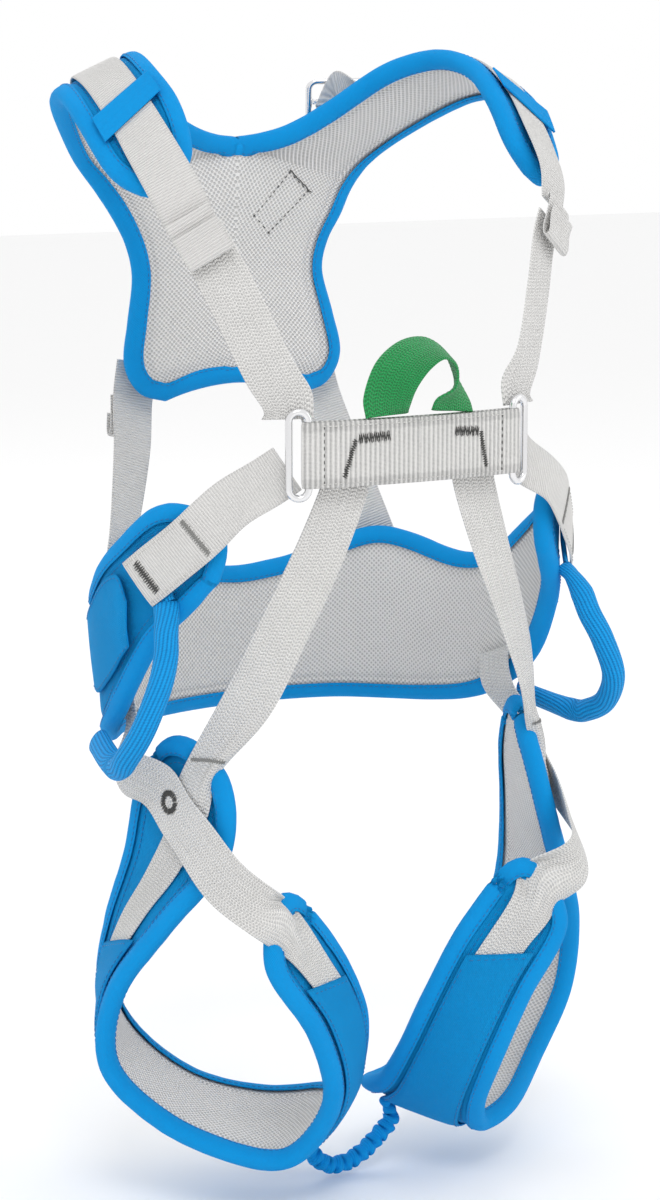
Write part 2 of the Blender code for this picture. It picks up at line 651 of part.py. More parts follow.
# ---- back straps: from the back pad's lobes down to the belt's high points ----
BACK_STRAP = ((at(46, 98.5, 101), (0.05, 1.0, 0)), (at(49, 98.0, 84), (0.12, 1.0, 0)),
              (at(53, 91, 64), (0.2, 1.0, 0)), (at(59, 84, 42), (0.35, 0.94, 0)),
              (at(65, 78.5, 22), (0.5, 0.87, 0)), (at(71, 75.5, 5), (0.62, 0.78, 0)))
for side_name, side in SIDES:
    stops = [(point, Vector(normal)) for point, normal in BACK_STRAP]
    strap(side_name + "_back_strap", strap_rows(stops), side, creased=False)
    # the strap end doubled back and sewn, on its outer face
    out = Vector(BACK_STRAP[1][1]).normalized()
    top = BACK_STRAP[1][0] + out * (WEBBING_THICK + SOFT_GAP + 0.4)
    down = (BACK_STRAP[2][0] - BACK_STRAP[1][0]).normalized()
    fold = ((0.0, 0.6), (8.0, 0.3), (15.0, 0.4), (19.5, 1.8), (17.0, 3.4), (9.0, 3.2))
    stops = []
    for i, (a, b) in enumerate(fold):
        before, after = fold[max(i - 1, 0)], fold[min(i + 1, len(fold) - 1)]
        along = down * (after[0] - before[0]) + out * (after[1] - before[1])
        stops.append((top + down * a + out * b, along.cross(down.cross(out)).normalized()))
    strap(side_name + "_back_strap_fold", strap_rows(stops, WEBBING_WIDTH - 0.6), side,
          thick=WEBBING_THICK - 0.2, creased=False)


def over_belt(place, height, lift, turn, width=WEBBING_WIDTH):
    """Three points of a strap lying over the belt; `turn` is its cross direction's slope."""
    side_step = math.cos(turn) * width / 2
    rise = math.sin(turn) * width / 2
    pitch = (belt_point(place + 0.1, 0) - belt_point(place - 0.1, 0)).length / 0.2
    return [on_belt(place + step * side_step / pitch, height + step * rise, lift)[0]
            for step in (-1, 0, 1)]


# ---- hip straps: from the rings down over the belt's front lobes ----
HIP_STRAP_LINE = ((7.28, 48.5), (6.95, 41.5), (6.6, 34.5), (6.25, 27.5), (5.9, 20.5))
HIP_STRAP_TURN = math.radians(-52)
for side_name, side in SIDES:
    start = outer_bar - RING_FACE * (BEHIND_RING + 1.4) - UP * 6
    stops = [(start, RING_FACE), (start + Vector((8, 4, -6)), Vector((0.42, -0.9, 0.1))),
             (at(80, -56, 57), Vector((0.55, -0.82, 0.15)))]
    for place, height in HIP_STRAP_LINE:
        extra = 1.6 if place < 6.3 else 0.8
        stops.append(over_belt(place, height, HIP_STRAP_LIFT + extra, HIP_STRAP_TURN))
    strap(side_name + "_hip_strap", strap_rows(stops), side)

# ---- hip pockets: a fabric panel that the strap and cord ends run towards ----
# (place along the belt, low height, high height)
POCKET_EDGES = ((3.15, -38, -4), (3.5, -37, -4), (3.9, -35, -1), (4.3, -34, 6), (4.7, -28, 15),
                (5.05, -21, 21), (5.35, -13, 22), (5.55, -8, 12))
for side_name, side in SIDES:
    rows = []
    for i, (place, low, high) in enumerate(POCKET_EDGES):
        lift = COVER_TOP + SOFT_GAP + FABRIC_THICK / 2 + 0.4
        if i > 5:
            lift += 0.8
        rows.append([on_belt(place, low + (high - low) * share, lift)[0]
                     for share in (0.0, 0.33, 0.66, 1.0)])
    sheet(side_name + "_hip_pocket", mirrored(rows, side), FABRIC, FABRIC_THICK)

# ---- gear loops: braided tube, pressed flat where its ends lie on the belt ----
# (place, height, lift, half width, half thickness)
GEAR_TOP_END = ((5.86, 35, FLAT_CORD_LIFT, 6.6), (6.0, 30, FLAT_CORD_LIFT, 6.6),
                (6.14, 24, FLAT_CORD_LIFT, 6.4), (6.26, 18, FLAT_CORD_LIFT + 0.8, 5.8),
                (6.36, 13, FLAT_CORD_LIFT + 1.8, 5.6))
GEAR_LOOP = [at(106, -45, 1), at(108, -48.5, -8), at(113, -52, -20), at(120, -51, -37),
             at(123, -41, -51), at(121, -30, -57.5), at(118.5, -19, -59)]
for side_name, side in SIDES:
    stations = []
    for place, height, lift, half_width in GEAR_TOP_END:
        point, normal = on_belt(place, height, lift)
        wide = (on_belt(place + 0.1, height, lift)[0] - point).normalized() + UP * 0.4
        stations.append((point, wide, half_width, FLAT_CORD / 2))
    stations = [(Vector((p.x * side, p.y, p.z)), Vector((w.x * side, w.y, w.z)), a, b)
                for p, w, a, b in stations]
    lofted_cord(side_name + "_gear_loop_tab", stations, CORD)

    radius = CORD_DIAMETER / 2
    neck, normal = on_belt(6.46, 8.5, BINDING_TOP + SOFT_GAP + radius * 0.78)
    stations = [(neck, wide, radius * 1.08, radius * 0.72)]
    stations += [(point, wide, radius, radius) for point in smooth_route(GEAR_LOOP, 2)]
    low_end, normal = on_belt(4.45, -55, BINDING_TOP + SOFT_GAP + radius * 0.62)
    stations.append((low_end, normal.cross(UP), radius * 1.1, radius * 0.6))
    stations = [(Vector((p.x * side, p.y, p.z)), Vector((w.x * side, w.y, w.z)), a, b)
                for p, w, a, b in stations]
    lofted_cord(side_name + "_gear_loop", stations, CORD)

# ---- thigh webbing: from the bridge over the outer thigh, into the sleeve ----
LEG_FREE = ((at(30, -69, 76), (0.09, -1.0, 0)), (at(32, -68.4, 62), (0.1, -1.0, 0)),
            (at(43, -65, 33), (0.25, -0.95, 0)), (at(57, -60, 2), (0.45, -0.88, 0)),
            (at(71, -53, -30), (0.65, -0.74, 0)))
for side_name, side in SIDES:
    pad = leg_pads["left"]
    stops = [(point, Vector(normal)) for point, normal in LEG_FREE]
    stops.append(pad.laid(leg_row(0.85), 0.14, STRAP_ON_BINDING + 0.8))
    stops.append(pad.laid(leg_row(1.5), 0.32, STRAP_ON_BINDING + 0.2))
    stops.append(pad.laid(leg_row(2.3), 0.47, STRAP_ON_COVER + 0.4))
    stops += [pad.laid(leg_row(p), 0.5, STRAP_ON_COVER) for p in LEG_PLACES if 2.7 < p < 4.9]
    strap(side_name + "_leg_strap", strap_rows(stops, per_span=1), side)

# ---- crossing webbing: from the belt over the thigh webbing to the front panel's sleeve ----
OVER_LEG_STRAP = STRAP_ON_BINDING + 0.8 + WEBBING_THICK + SOFT_GAP
CROSS_MIDDLE = ((at(90, -66, -104), (0.5, -0.86, 0.0)), (at(81, -82, -114), (0.1, -0.99, 0.05)))
for side_name, side in SIDES:
    pad = leg_pads["left"]
    diagonal = math.radians(45)
    inner = -(BINDING_TOP + INNER_EASE + SOFT_GAP + WEBBING_THICK / 2)
    stops = [over_belt(4.3, -34, inner - 1.0, math.radians(20)),
             over_belt(4.4, -47, inner - 1.6, math.radians(30)),
             (at(101, 4.5, -59.5), Vector((1, -0.2, 0))), (at(105, -3, -66.5), Vector((1, -0.2, 0)))]
    stops.append(pad.laid(leg_row(1.0), 0.6, OVER_LEG_STRAP, diagonal))
    stops.append(pad.laid(leg_row(1.4), 0.45, OVER_LEG_STRAP, diagonal))
    stops.append(pad.laid(leg_row(1.8), 0.18, OVER_LEG_STRAP + 0.3, diagonal))
    stops += [(point, Vector(normal)) for point, normal in CROSS_MIDDLE]
    for place, across, extra, turn in ((12.5, 0.2, 2.4, 40), (12.15, 0.38, 1.4, 40),
                                       (11.75, 0.5, 0.2, 22), (11.35, 0.52, 0.0, 5),
                                       (10.9, 0.52, 0.0, 0)):
        stops.append(pad.laid(leg_row(place), across, STRAP_ON_COVER + 0.2 + extra,
                              math.radians(turn)))
    strap(side_name + "_crossing_strap", strap_rows(stops, per_span=1), side)

# ---- gathered elastic between the two leg loops ----
ELASTIC = [at(-25, -20, -245), at(-20, -21, -252), at(-13, -21, -257), at(-4, -21, -257.5),
           at(5, -21, -254), at(14, -20, -248), at(21, -20, -242)]
tube("leg_loop_elastic", smooth_route(ELASTIC, 2), ELASTIC_DIAMETER / 2, CORD)
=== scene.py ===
"""Looks of a child's full-body climbing harness: padded back piece, waist belt and two leg loops,
joined by webbing at two steel rings and a front bridge. Millimetres until a mesh is made."""
import bpy
import bmesh
import math
import numpy as np
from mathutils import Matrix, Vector, noise


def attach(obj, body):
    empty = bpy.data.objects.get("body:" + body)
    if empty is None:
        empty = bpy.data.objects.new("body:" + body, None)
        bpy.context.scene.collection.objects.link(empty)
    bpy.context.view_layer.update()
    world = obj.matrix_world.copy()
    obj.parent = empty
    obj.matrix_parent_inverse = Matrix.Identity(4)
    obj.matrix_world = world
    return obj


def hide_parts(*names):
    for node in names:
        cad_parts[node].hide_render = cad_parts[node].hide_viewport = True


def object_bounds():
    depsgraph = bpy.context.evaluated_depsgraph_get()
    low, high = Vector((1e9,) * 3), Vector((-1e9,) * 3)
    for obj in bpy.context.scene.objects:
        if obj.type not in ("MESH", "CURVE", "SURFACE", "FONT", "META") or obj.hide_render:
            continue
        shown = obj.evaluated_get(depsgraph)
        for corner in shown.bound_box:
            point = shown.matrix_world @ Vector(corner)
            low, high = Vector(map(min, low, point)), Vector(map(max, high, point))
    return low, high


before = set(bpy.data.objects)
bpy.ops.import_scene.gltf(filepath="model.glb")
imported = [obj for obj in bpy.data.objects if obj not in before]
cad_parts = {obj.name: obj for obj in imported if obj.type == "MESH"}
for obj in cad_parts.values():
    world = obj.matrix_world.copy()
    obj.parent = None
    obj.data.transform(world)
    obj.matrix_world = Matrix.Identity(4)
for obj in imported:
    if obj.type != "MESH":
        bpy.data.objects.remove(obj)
cad_low, cad_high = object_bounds()

# ---- camera ----
# It stands in front of the wearer and a little to their right, slightly above the hips, and
# looks at the middle of the torso.
CAMERA_AWAY = 1.5
CAMERA_TURN = math.radians(-30)
CAMERA_RISE = math.radians(10)
camera = bpy.data.objects.new("camera", bpy.data.cameras.new("camera"))
bpy.context.scene.collection.objects.link(camera)
toward = Vector((math.sin(CAMERA_TURN) * math.cos(CAMERA_RISE),
                 -math.cos(CAMERA_TURN) * math.cos(CAMERA_RISE), math.sin(CAMERA_RISE)))
camera.location = toward * CAMERA_AWAY
camera.rotation_mode = "QUATERNION"
camera.rotation_quaternion = (-toward).to_track_quat("-Z", "Y")
camera.data.lens = 100
camera.data.sensor_width = 36
bpy.context.scene.camera = camera

# ---- back and shoulder pad ----
# One piece of foam between a blue outer fabric and a grey spacer mesh. A panel seam runs just
# inside the stretch tape that binds its edge.
SIDES = (("left", 1), ("right", -1))
FABRIC_TOP = 3.1             # outer face of the cover over the pad's middle surface
TAPE_THICK = 0.8
TAPE_TOP = 4.7               # outer face of the tape over the same surface
SEAM_IN = 7.4                # panel seam's distance from the edge
GAP = 0.3                    # between a piece and the steel it meets
SOFT_GAP = 0.6               # between layers that lie over each other


def mm(x, y, z):
    return np.array((x, y, z), float)


def unit(v):
    v = np.asarray(v, float)
    return v / np.maximum(np.linalg.norm(v, axis=-1, keepdims=True), 1e-9)


def lengths_along(points):
    """Distance from the first point to each point, along the line."""
    return np.concatenate([[0], np.cumsum(np.linalg.norm(np.diff(points, axis=0), axis=1))])


def curve_at(points, places, closed=False):
    """Points on a smooth curve through the points, at places counted in points."""
    points = np.asarray(points, float)
    places = np.asarray(places, float)
    step = np.floor(places).astype(int)
    if closed:
        a, b, c, d = (points[(step + k) % len(points)] for k in (-1, 0, 1, 2))
    else:
        step = np.clip(step, 0, len(points) - 2)
        longer = np.concatenate([[2 * points[0] - points[1]], points,
                                 [2 * points[-1] - points[-2]]])
        a, b, c, d = (longer[step + k] for k in range(4))
    t = (places - step).reshape(places.shape + (1,) * (points.ndim - 1))
    return 0.5 * (2 * b + (c - a) * t + (2 * a - 5 * b + 4 * c - d) * t * t
                  + (3 * b - a - 3 * c + d) * t ** 3)


class Pad:
    """A band between a low and a high edge line: s runs along it, v across it from 0 to 1."""

    def __init__(self, edges, first, last, inside):
        self.edges = edges
        self.first = first
        self.last = last
        self.sign = 1.0
        spot, normal = self.place((first + last) / 2, 0.5)
        if np.dot(normal, spot - inside) < 0:
            self.sign = -1.0

    def spot(self, s, v):
        s, v = np.broadcast_arrays(np.asarray(s, float), np.asarray(v, float))
        low, middle, high = self.edges(np.clip(s, self.first, self.last))
        v = np.clip(v, 0, 1)[..., None]
        return low * (1 - v) * (1 - 2 * v) + middle * 4 * v * (1 - v) + high * v * (2 * v - 1)

    def place(self, s, v, lift=0.0):
        """Points and normals, lifted off the middle surface."""
        s, v, lift = np.broadcast_arrays(np.asarray(s, float), v, lift)
        along = self.spot(s + 0.03, v) - self.spot(s - 0.03, v)
        across = self.spot(s, v + 0.03) - self.spot(s, v - 0.03)
        normal = unit(np.cross(along, across)) * self.sign
        return self.spot(s, v) + normal * lift[..., None], normal

    def pitch(self, s, v):
        return float(np.linalg.norm(self.spot(s + 0.2, v) - self.spot(s - 0.2, v)) / 0.4)

    def spread(self, s):
        return float(np.linalg.norm(self.spot(s, 1.0) - self.spot(s, 0.0)))

    def laid(self, s, across, lift, turn=0.0, width=22.0):
        """Five points of a strap lying over the pad, its cross direction turned from the row."""
        half = width / 2 * math.cos(turn) / self.spread(s)
        reach = width / 2 * math.sin(turn) / self.pitch(s, across)
        steps = np.linspace(-1, 1, 5)
        return self.place(s + steps * reach, across + steps * half, lift)[0]

    def outline(self, pitch=2.4, half=False):
        """(s, v) of points round the edge; `half` starts and ends at the mirror plane."""
        rows = int((self.last - self.first) * self.pitch((self.first + self.last) / 2, 0) / pitch)
        ends = max(int(self.spread(self.last) / pitch), 6)
        starts = max(int(self.spread(self.first) / pitch), 6)
        up = np.linspace(self.first, self.last, rows)
        path = [(self.first, v) for v in np.linspace(0, 1, starts)]
        path += [(s, 1.0) for s in up[1:]]
        path += [(self.last, v) for v in np.linspace(1, 0, ends)[1:]]
        stop = NECK if half else self.first
        down = [s for s in up[::-1][1:] if s > stop + 1e-3]
        path += [(s, 0.0) for s in down]
        if half:
            path.append((stop, 0.0))
        return np.array(path)

    def border(self, path, half=False):
        """Point, direction along and outward direction at each (s, v) of an outline."""
        spots, normals = self.place(path[:, 0], path[:, 1])
        if half:
            along = np.gradient(spots, axis=0)
            along[0] = (1, 0, 0)
            along[-1] = (-1, 0, 0)
        else:
            along = np.roll(spots, -1, 0) - np.roll(spots, 1, 0)
        along = unit(along)
        outward = unit(np.cross(along, normals))
        inner = self.spot((path[:, 0] * 0.96 + (self.first + self.last) * 0.02),
                          0.5 + (path[:, 1] - 0.5) * 0.9)
        if np.mean(np.sum(outward * (spots - inner), axis=1)) < 0:
            outward = -outward
        longer = np.pad(outward, ((3, 3), (0, 0)), mode="edge" if half else "wrap")
        outward = sum(longer[k:k + len(outward)] for k in range(7)) / 7
        if half:
            outward[[0, -1], 0] = 0
        return spots, unit(along), unit(outward), normals

    def inside(self, path, border, reach, lift=0.0):
        """Points and normals over the surface at a distance in from the outline."""
        spots, _, outward, normals = border
        s, v = self.inward(path, outward, reach)
        found, facing = self.place(s, v)
        level = spots - outward * reach
        lost = np.linalg.norm(found - level, axis=1) > 0.16 * reach + 0.3
        found[lost] = level[lost]
        facing[lost] = normals[lost]
        longer = np.pad(found, ((2, 2), (0, 0)), mode="reflect", reflect_type="odd")
        found = sum(longer[k:k + len(found)] for k in range(5)) / 5
        return found + facing * lift, facing

    def inward(self, path, outward, reach):
        """(s, v) that lies `reach` inside the outline along the surface."""
        s, v = path[:, 0], path[:, 1]
        ahead = np.clip(s + 0.05, self.first, self.last)
        behind = np.clip(s - 0.05, self.first, self.last)
        ds = (self.spot(ahead, v) - self.spot(behind, v)) / (ahead - behind)[:, None]
        above = np.clip(v + 0.04, 0, 1)
        below = np.clip(v - 0.04, 0, 1)
        dv = (self.spot(s, above) - self.spot(s, below)) / (above - below)[:, None]
        aim = -outward * reach
        ss, sv, vv = (np.sum(a * b, axis=1) for a, b in ((ds, ds), (ds, dv), (dv, dv)))
        sa, va = np.sum(ds * aim, axis=1), np.sum(dv * aim, axis=1)
        whole = np.maximum(ss * vv - sv * sv, 1e-6)
        return s + (sa * vv - va * sv) / whole, v + (va * ss - sa * sv) / whole


def slab(top, bottom, marks, closed=False, open_rows=0, caps=True):
    """A closed skin between two grids of points, with the cloth's own measures as its UV map."""
    count, wide = top.shape[:2]
    total = count * wide
    points = np.concatenate([top.reshape(-1, 3), bottom.reshape(-1, 3)]) / 1000
    faces = []
    for i in range(count if closed else count - 1):
        n = (i + 1) % count
        for j in range(wide - 1):
            a, b, c, d = i * wide + j, i * wide + j + 1, n * wide + j + 1, n * wide + j
            faces.append((a, b, c, d))
            faces.append((d + total, c + total, b + total, a + total))
        last = wide - 1
        faces.append((i * wide + last, i * wide + last + total,
                      n * wide + last + total, n * wide + last))
        if i >= open_rows:
            faces.append((n * wide, n * wide + total, i * wide + total, i * wide))
    if caps and not closed:
        end = (count - 1) * wide
        for j in range(wide - 1):
            faces.append((j + total, j + 1 + total, j + 1, j))
            faces.append((end + j, end + j + 1, end + j + 1 + total, end + j + total))
    mesh = bpy.data.meshes.new("skin")
    mesh.from_pydata(points.tolist(), [], faces)
    both = np.concatenate([marks.reshape(-1, 2)] * 2)
    layer = mesh.uv_layers.new(name="cloth")
    corners = np.empty(len(mesh.loops), int)
    mesh.loops.foreach_get("vertex_index", corners)
    layer.data.foreach_set("uv", both[corners].astype(np.float32).ravel())
    return mesh


def measures(grid):
    """Distance across from the middle column and along the middle line, in millimetres."""
    middle = grid.shape[1] // 2
    along = lengths_along(grid[:, middle])
    across = np.linalg.norm(np.diff(grid, axis=1), axis=2)
    across = np.concatenate([np.zeros((len(grid), 1)), np.cumsum(across, axis=1)], axis=1)
    across = across - across[:, middle:middle + 1]
    return np.stack([across, np.repeat(along[:, None], grid.shape[1], 1)], axis=-1)


def add_piece(name, mesh, finish, body="harness", nodes=(), mirror=False, side=1):
    """Puts a finished mesh in the scene, riding on its body and standing for its nodes."""
    work = bmesh.new()
    work.from_mesh(mesh)
    if side < 0:
        for vert in work.verts:
            vert.co.x = -vert.co.x
    bmesh.ops.recalc_face_normals(work, faces=work.faces)
    work.to_mesh(mesh)
    work.free()
    mesh.shade_smooth()
    mesh.name = name
    made = bpy.data.objects.new(name, mesh)
    made.data.materials.append(finish)
    bpy.context.scene.collection.objects.link(made)
    if mirror:
        half = made.modifiers.new("other_half", "MIRROR")
        half.merge_threshold = 0.00002
        half.use_clip = True
        mesh = evaluated_mesh(made)
        made.modifiers.clear()
        made.data = mesh
    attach(made, body)
    if nodes:
        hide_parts(*nodes)
    return made


def evaluated_mesh(obj):
    graph = bpy.context.evaluated_depsgraph_get()
    graph.update()
    return bpy.data.meshes.new_from_object(obj.evaluated_get(graph))


def new_node(tree, kind, settings, values):
    """A node whose settings are made first, and whose inputs then get values or links."""
    made = tree.nodes.new(kind)
    for key, value in settings.items():
        setattr(made, key, value)
    for key, value in values.items():
        value = getattr(value, "socket", value)
        if isinstance(value, bpy.types.NodeSocket):
            tree.links.new(value, made.inputs[key])
        else:
            made.inputs[key].default_value = value
    return made


class Shade:
    """A value in a material's node tree that can be worked with like a number."""

    def __init__(self, finish, socket):
        self.finish = finish
        self.socket = socket

    def sum(self, operation, a, b=0.0):
        return self.finish.node("ShaderNodeMath", {"operation": operation}, {0: a, 1: b})

    def __add__(self, other):
        return self.sum("ADD", self, other)

    def __radd__(self, other):
        return self.sum("ADD", other, self)

    def __sub__(self, other):
        return self.sum("SUBTRACT", self, other)

    def __rsub__(self, other):
        return self.sum("SUBTRACT", other, self)

    def __mul__(self, other):
        return self.sum("MULTIPLY", self, other)

    def __rmul__(self, other):
        return self.sum("MULTIPLY", other, self)

    def __truediv__(self, other):
        return self.sum("DIVIDE", self, other)

    def sine(self):
        return self.sum("SINE", self)

    def wrapped(self):
        return self.sum("FRACT", self)

    def size(self):
        return self.sum("ABSOLUTE", self)

    def power(self, other):
        return self.sum("POWER", self, other)

    def floor(self):
        return self.sum("FLOOR", self)

    def step(self, low, high):
        """0 below low, 1 above high, smooth between."""
        return self.finish.node("ShaderNodeMapRange", {"interpolation_type": "SMOOTHSTEP"},
                                {"Value": self, "From Min": low, "From Max": high})


class Finish:
    """A material with a Principled BSDF, built from expressions."""

    def __init__(self, name, rough, metal=0.0, sheen=0.0):
        self.material = bpy.data.materials.new(name)
        self.material.use_nodes = True
        self.tree = self.material.node_tree
        self.shader = self.tree.nodes["Principled BSDF"]
        self.shader.inputs["Roughness"].default_value = rough
        self.shader.inputs["Metallic"].default_value = metal
        self.shader.inputs["Sheen Weight"].default_value = sheen

    def node(self, kind, settings, values, output=0):
        return Shade(self, new_node(self.tree, kind, settings, values).outputs[output])

    def cloth(self):
        """Distances across and along the piece's own cloth, in millimetres."""
        place = self.node("ShaderNodeUVMap", {"uv_map": "cloth"}, {})
        return (self.node("ShaderNodeSeparateXYZ", {}, {0: place}, 0),
                self.node("ShaderNodeSeparateXYZ", {}, {0: place}, 1))

    def grain(self, scale, detail=3.0):
        """Noise over the object, its scale in cells to a metre."""
        place = self.node("ShaderNodeTexCoord", {}, {}, "Object")
        return self.node("ShaderNodeTexNoise", {}, {"Vector": place, "Scale": scale,
                                                    "Detail": detail}, "Fac")

    def blend(self, share, first, second):
        """The first colour where the share is 0, the second where it is 1."""
        return self.node("ShaderNodeMix", {"data_type": "RGBA"},
                         {0: share, 6: (*first, 1.0), 7: (*second, 1.0)}, 2)

    def link(self, colour, relief, depth, rough):
        """Joins the expressions to the shader; `depth` is the relief's height in metres."""
        bump = self.node("ShaderNodeBump", {}, {"Height": relief, "Distance": depth,
                                                "Strength": 1.0}, "Normal")
        for word, value in (("Base Color", colour), ("Roughness", rough), ("Normal", bump)):
            if value is not None:
                self.tree.links.new(value.socket, self.shader.inputs[word])
        return self.material


def woven_fabric(name, light, dark, pitch=0.9, ridge=0.00022):
    """Plain weave: yarns over and under, with soft drifts of colour."""
    made = Finish(name, 0.85)
    made.shader.inputs["Specular IOR Level"].default_value = 0.2
    across, along = made.cloth()
    turn = 2 * math.pi / pitch
    weave = (across * turn).sine() * (along * turn).sine()
    drift = made.grain(38.0, 4.0)
    wear = made.grain(900.0, 2.0)
    tone = (weave * 0.5 + 0.5) * 0.45 + drift * 0.35 + wear * 0.3
    return made.link(made.blend(tone.step(0.2, 0.85), dark, light),
                     weave + wear * 0.8 + drift * 1.2, ridge, 0.7 + wear * 0.2)


def spacer_mesh(name, light, dark, pitch=2.3):
    """Light knitted mesh with staggered rows of small holes."""
    made = Finish(name, 0.85, sheen=0.15)
    across, along = made.cloth()
    row = along / (pitch * 0.5)
    shift = (row.floor() * 0.5).wrapped()
    u = ((across / pitch + shift).wrapped() - 0.5) * 2
    v = (row.wrapped() - 0.5) * 1.1
    hole = 1 - (u * u + v * v).step(0.06, 0.42)
    drift = made.grain(60.0)
    shade = hole * 0.75 + drift * 0.25
    return made.link(made.blend(shade.step(0.1, 0.95), light, dark), 1 - hole + drift * 0.6, 0.0005,
                     0.8 + drift * 0.15)


BLUE = woven_fabric("blue_fabric", (0.0, 0.345, 0.80), (0.0, 0.265, 0.66))
TAPE = woven_fabric("binding_tape", (0.0, 0.33, 0.78), (0.0, 0.25, 0.64), pitch=0.7, ridge=0.0001)
LINING = spacer_mesh("spacer_mesh", (0.78, 0.765, 0.75), (0.52, 0.51, 0.50))

BACK_INNER = [mm(0, 90, 92.5), mm(0, 91, 98), mm(0, 92, 109), mm(0, 93, 125), mm(0, 93, 142),
              mm(0, 92, 158), mm(0, 90, 176), mm(0, 87, 201), mm(22, 82, 205), mm(42, 75, 216),
              mm(61, 61, 232), mm(73, 46, 239), mm(79, 30, 240), mm(82, 12, 235), mm(81, -7, 222),
              mm(82, -20, 204), mm(89, -24.5, 192)]
BACK_OUTER = [mm(37, 89, 86), mm(48, 90, 90), mm(54, 90, 102), mm(51, 92, 120), mm(47, 95, 140),
              mm(50, 95, 155), mm(57, 94, 168), mm(65, 96, 181), mm(76, 94, 194), mm(88, 82, 206),
              mm(103, 61, 219), mm(110, 45, 224), mm(114, 28, 224), mm(115, 10, 214),
              mm(112, -6, 198), mm(108, -13, 191), mm(102, -18.5, 187)]
BACK_TIP = mm(95, -23.5, 187)
NECK = 7.0                   # the row where the two shoulder arms part
ARM_END = 16.0


def back_edges(s):
    spine = curve_at(BACK_INNER, s) * (0, 1, 1)
    neck_line = [BACK_INNER[8] * (-1, 1, 1)] + BACK_INNER[7:]
    arm = curve_at(neck_line, np.maximum(s - NECK, 0) + 1)
    low = np.where((s <= NECK)[..., None], spine, arm)
    high = curve_at(BACK_OUTER, s)
    near_tip = np.clip((s - ARM_END + 0.5) / 0.5, 0, 1)[..., None] ** 2
    middle = (low + high) / 2 * (1 - near_tip) + BACK_TIP * near_tip
    middle[..., 2] += 1.6 * np.clip(1 - s, 0, 1) ** 2
    return low, middle, high


def wrinkle(points, size, seed):
    """Small soft unevenness of sewn cloth, from -1 to 1 at each point."""
    flat = points.reshape(-1, 3)
    found = [noise.noise(Vector(p / size) + Vector((seed, 0, 0))) for p in flat]
    return np.array(found).reshape(points.shape[:-1])


def pad_columns(width):
    """Shares across a pad, close together by its edges where the tape and seam are."""
    near = np.array([0, 1.2, 2.4, 3.6, 4.6, 5.4, 6.1, 6.8, 7.4, 8.0, 8.8, 10.2, 12.5])
    near = near * min(width / 32.0, 1.0)
    inner = np.linspace(near[-1], width - near[-1], 12)[1:-1]
    return np.concatenate([near, inner, width - near[::-1]]) / width


def face_lift(away, crown):
    """Height of a pad's face at a distance from its edge: thin in the tape, dipped at the seam."""
    rise = FABRIC_TOP * (0.62 + 0.38 * np.clip(away / 7.0, 0, 1))
    dip = 0.75 * np.exp(-((away - SEAM_IN) / 0.9) ** 2)
    return rise - dip + crown * (1 - np.exp(-np.maximum(away - SEAM_IN, 0) / 11.0))


def pad_pieces(pad, name, node, pitch=2.6, half=False, side=1, seed=0.0):
    """The cover with its foam, the mesh lining and the binding tape of one pad."""
    count = int((pad.last - pad.first) * pad.pitch((pad.first + pad.last) / 2, 0.5) / pitch)
    rows = np.linspace(pad.first, pad.last, count)
    if half:
        rows = np.sort(np.append(rows[np.abs(rows - NECK) > 0.04], NECK))
    shares = np.stack([pad_columns(pad.spread(s)) for s in rows])
    spots, normals = pad.place(rows[:, None], shares)
    plane = (rows <= NECK) if half else np.zeros(len(rows), bool)
    normals[plane, 0, 0] = 0
    path = pad.outline(half=half)
    rim = pad.spot(path[:, 0], path[:, 1])
    if half:
        rim = np.concatenate([rim, rim * (-1, 1, 1)])
    away = np.linalg.norm(spots[:, :, None] - rim[None, None], axis=-1).min(axis=-1)
    soft = wrinkle(spots, 14.0, seed) * 0.22 * np.clip((away - 8) / 8, 0, 1)
    fine = wrinkle(spots, 5.0, seed + 7) * 0.12 * np.clip((away - 5) / 4, 0, 1)
    marks = measures(spots)
    outer = face_lift(away, 0.25) + soft + fine
    inner = face_lift(away, 1.1) + soft * 1.6 + fine
    open_rows = int(np.sum(plane)) - 1 if half else 0
    for part, top, bottom, finish, nodes, slot in (
            ("face", outer, 0.2, BLUE, (node + "_cover", node + "_foam"), "blue_fabric"),
            ("lining", -0.2, -inner, LINING, (node + "_mesh_liner",), "spacer_mesh")):
        high = spots + normals * (np.zeros(away.shape) + top)[..., None]
        low = spots + normals * (np.zeros(away.shape) + bottom)[..., None]
        mesh = slab(high, low, marks, open_rows=open_rows)
        made = add_piece(f"{name}_{part}", mesh, finish, nodes=nodes, mirror=half,
                         side=side)
    tape = tape_mesh(pad, path, half, seed)
    add_piece(name + "_tape", tape, TAPE, nodes=(node + "_binding",),
              mirror=half, side=side)
    return path


TAPE_PROFILE = ((4.4, 3.5), (4.1, 3.7), (2.9, 3.76), (1.5, 3.72), (0.1, 3.45), (-1.2, 2.8),
                (-2.1, 1.8), (-2.5, 0.6))


